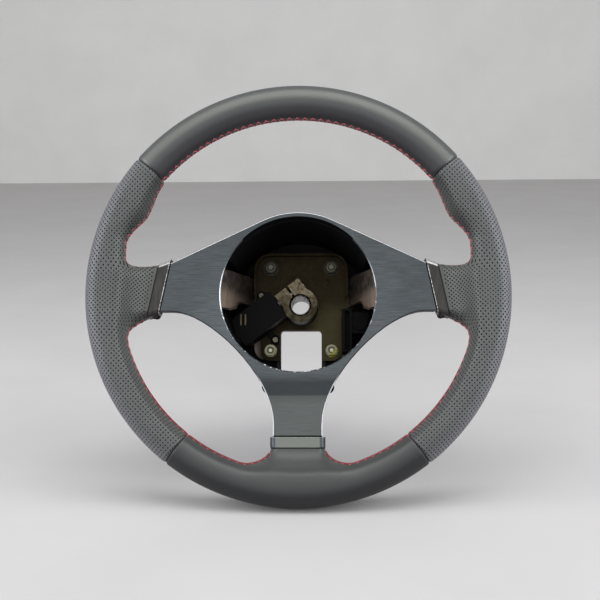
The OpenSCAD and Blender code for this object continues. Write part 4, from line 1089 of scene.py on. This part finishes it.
def tube(verts, faces, pts, radius, sides=6):
    pts = np.asarray(pts)
    t = np.gradient(pts, axis=0)
    t /= np.linalg.norm(t, axis=1, keepdims=True)
    ref = np.array([0.3, 0.9, 0.2])
    base = sum(len(v) for v in verts)
    a = np.linspace(0, 2 * math.pi, sides, endpoint=False)
    for p, d in zip(pts, t):
        x = np.cross(d, ref)
        x /= np.linalg.norm(x)
        y = np.cross(d, x)
        verts.append(p + radius * (np.cos(a)[:, None] * x + np.sin(a)[:, None] * y))
    faces += (base + stacked_rings(sides, len(pts))).tolist()
    faces.append(list(range(base, base + sides))[::-1])
    faces.append([base + (len(pts) - 1) * sides + j for j in range(sides)])


def stitches():
    """Slanting stitches over the inner seam, leaning one way in front and the other way behind."""
    verts, faces = [], []
    for front, rear in seam_runs():
        edge = (front[:, 1] + rear[:, 1]) / 2
        s = run_length(edge)
        stations = np.arange(len(s))
        count = int((s[-1] - RUN_MARGIN) / STITCH_PITCH)
        off = (s[-1] - count * STITCH_PITCH) / 2
        for i in range(count):
            for way, shift in ((1, 0), (-1, 0.5)):
                u0 = off + STITCH_PITCH * (i + shift)
                u1 = u0 + STITCH_PITCH * 0.5
                if u1 > s[-1] - STITCH_MARGIN:
                    continue
                low = lowness(edge[int(np.interp(u0, s, stations)), 2])
                width = STITCH_REACH + STITCH_LOW_REACH * low
                pts = []
                for q in np.linspace(0, 1, STITCH_STEPS):
                    v = way * width * (1 - 2 * q) + STITCH_LOW_SHIFT * low
                    station = np.interp(u0 + (u1 - u0) * q, s, stations)
                    lift = STITCH_LIFT - STITCH_SINK * abs(2 * q - 1) ** 8
                    pts.append(lifted(front if v >= 0 else rear, edge, station, abs(v), lift))
                tube(verts, faces, pts, STITCH_R)
    put(new_mesh("rim_stitching", to_world(np.concatenate(verts)), faces), M["thread"], None)


def seam_cords():
    """Thread along the inner seam: one cord in its groove above, spreading to three below."""
    verts, faces = [], []
    for front, rear in seam_runs():
        edge = (front[:, 1] + rear[:, 1]) / 2
        s = run_length(edge)
        stations = np.arange(len(s))
        thick = LOW_CORD_R if edge[:, 2].max() < 0 else CORD_R
        for spread in (0.0, 0.5, 1.0):
            pts = []
            for u in np.arange(CORD_MARGIN, s[-1] - CORD_MARGIN, CORD_STEP):
                station = np.interp(u, s, stations)
                low = lowness(edge[int(station), 2])
                v = CORD_AT + (CORD_LOW_SHIFT + CORD_LOW_SPREAD * spread) * low
                pts.append(lifted(front, edge, station, v, CORD_LIFT - CORD_SINK * spread * (1 - low)))
            tube(verts, faces, pts, thick)
    put(new_mesh("seam_cord", to_world(np.concatenate(verts)), faces), M["cord"], None)


stitches()
seam_cords()


# Stage: a pale table that the wheel leans back over, and a pale backdrop

LEAN = math.radians(19.0)
UP = Vector((0, -math.sin(LEAN), math.cos(LEAN)))
BACK = Vector((0, math.cos(LEAN), math.sin(LEAN)))
RIGHT = Vector((1, 0, 0))
FLOOR_GAP = 0.0005
centre = Vector((0, -RIM_AHEAD * MM, 0))
foot = centre - Vector((0, 0, MID_R * MM)) - UP * (GRIP_R * MM + FLOOR_GAP)


def stage_plane(name, middle, x, y, colour, rough):
    """Plain sheet, clear from behind so that it never hides the wheel."""
    corners = [middle - x - y, middle + x - y, middle + x + y, middle - x + y]
    ob = new_mesh(name, corners, [(0, 1, 2, 3)], False)
    look = Look(name, rough=rough, spec=0.2)
    shade = tuple(c * 0.94 for c in colour)
    look.feed(look.ramp(look.noise(6.0, 6.0, 0.6), 0.3, shade, 0.7, colour), look.base["Base Color"])
    behind = look.node("ShaderNodeNewGeometry").outputs["Backfacing"]
    seen = look.node("ShaderNodeLightPath").outputs["Is Camera Ray"]
    both = look.node("ShaderNodeMixShader")
    look.feed(look.mul(behind, seen), both.inputs[0])
    look.feed(look.shader.outputs[0], both.inputs[1])
    look.feed(look.node("ShaderNodeBsdfTransparent").outputs[0], both.inputs[2])
    look.feed(both.outputs[0], look.tree.nodes["Material Output"].inputs["Surface"])
    ob.data.materials.append(look.material)


stage_plane("floor", foot, RIGHT * 4.0, BACK * 4.0, (0.50, 0.487, 0.48), 0.8)
stage_plane("backdrop", foot + BACK * 3.0 + UP * 1.6, RIGHT * 5.0, UP * 2.6, (0.80, 0.79, 0.77), 0.9)


# Lamps and world

def area(name, at, size, power, colour=(1, 1, 1)):
    """Rectangular lamp at a place relative to the wheel's centre, turned to it."""
    d = bpy.data.lights.new(name, "AREA")
    d.shape = "RECTANGLE"
    d.size, d.size_y = size
    d.energy = power
    d.color = colour
    ob = bpy.data.objects.new(name, d)
    bpy.context.scene.collection.objects.link(ob)
    ob.location = centre + at
    ob.rotation_euler = (-at).to_track_quat("-Z", "Y").to_euler()


area("key", UP * 1.5 - BACK * 0.35 + RIGHT * 0.1, (1.6, 0.8), 14.5)
area("front_fill", UP * 0.5 - BACK * 1.7 - RIGHT * 0.15, (1.6, 1.1), 5)
for name, x in (("right_fill", 1.3), ("left_fill", -1.3)):
    area(name, UP * 0.4 - BACK * 0.35 + RIGHT * x, (0.7, 1.3), 15.5, (0.9, 0.94, 1.0))

scene = bpy.context.scene
scene.world = bpy.data.worlds.new("world")
scene.world.use_nodes = True
background = scene.world.node_tree.nodes["Background"].inputs
background["Color"].default_value = (0.93, 0.94, 0.96, 1)
background["Strength"].default_value = 0.68


# Camera: its direction and distance from the wheel's centre, and where the photograph has that centre

CAMERA_AZ, CAMERA_EL = math.radians(1.77), math.radians(-8.17)
CAMERA_DISTANCE = 0.889
PHOTO_PX = 600
FOCAL_PX = 1082
CENTRE_PX = (297.36, 291.76)
SENSOR = 36

cam_data = bpy.data.cameras.new("camera")
cam = bpy.data.objects.new("camera", cam_data)
scene.collection.objects.link(cam)
eye = Vector((math.sin(CAMERA_AZ) * math.cos(CAMERA_EL), -math.cos(CAMERA_AZ) * math.cos(CAMERA_EL),
              math.sin(CAMERA_EL))) * CAMERA_DISTANCE
cam.location = centre + eye
cam.rotation_euler = (-eye).to_track_quat("-Z", "Y").to_euler()
cam_data.sensor_width = SENSOR
cam_data.lens = FOCAL_PX / PHOTO_PX * SENSOR
cam_data.shift_x = (PHOTO_PX / 2 - CENTRE_PX[0]) / PHOTO_PX
cam_data.shift_y = -(PHOTO_PX / 2 - CENTRE_PX[1]) / PHOTO_PX
cam_data.dof.use_dof = False
scene.camera = cam
scene.view_settings.view_transform = "Standard"
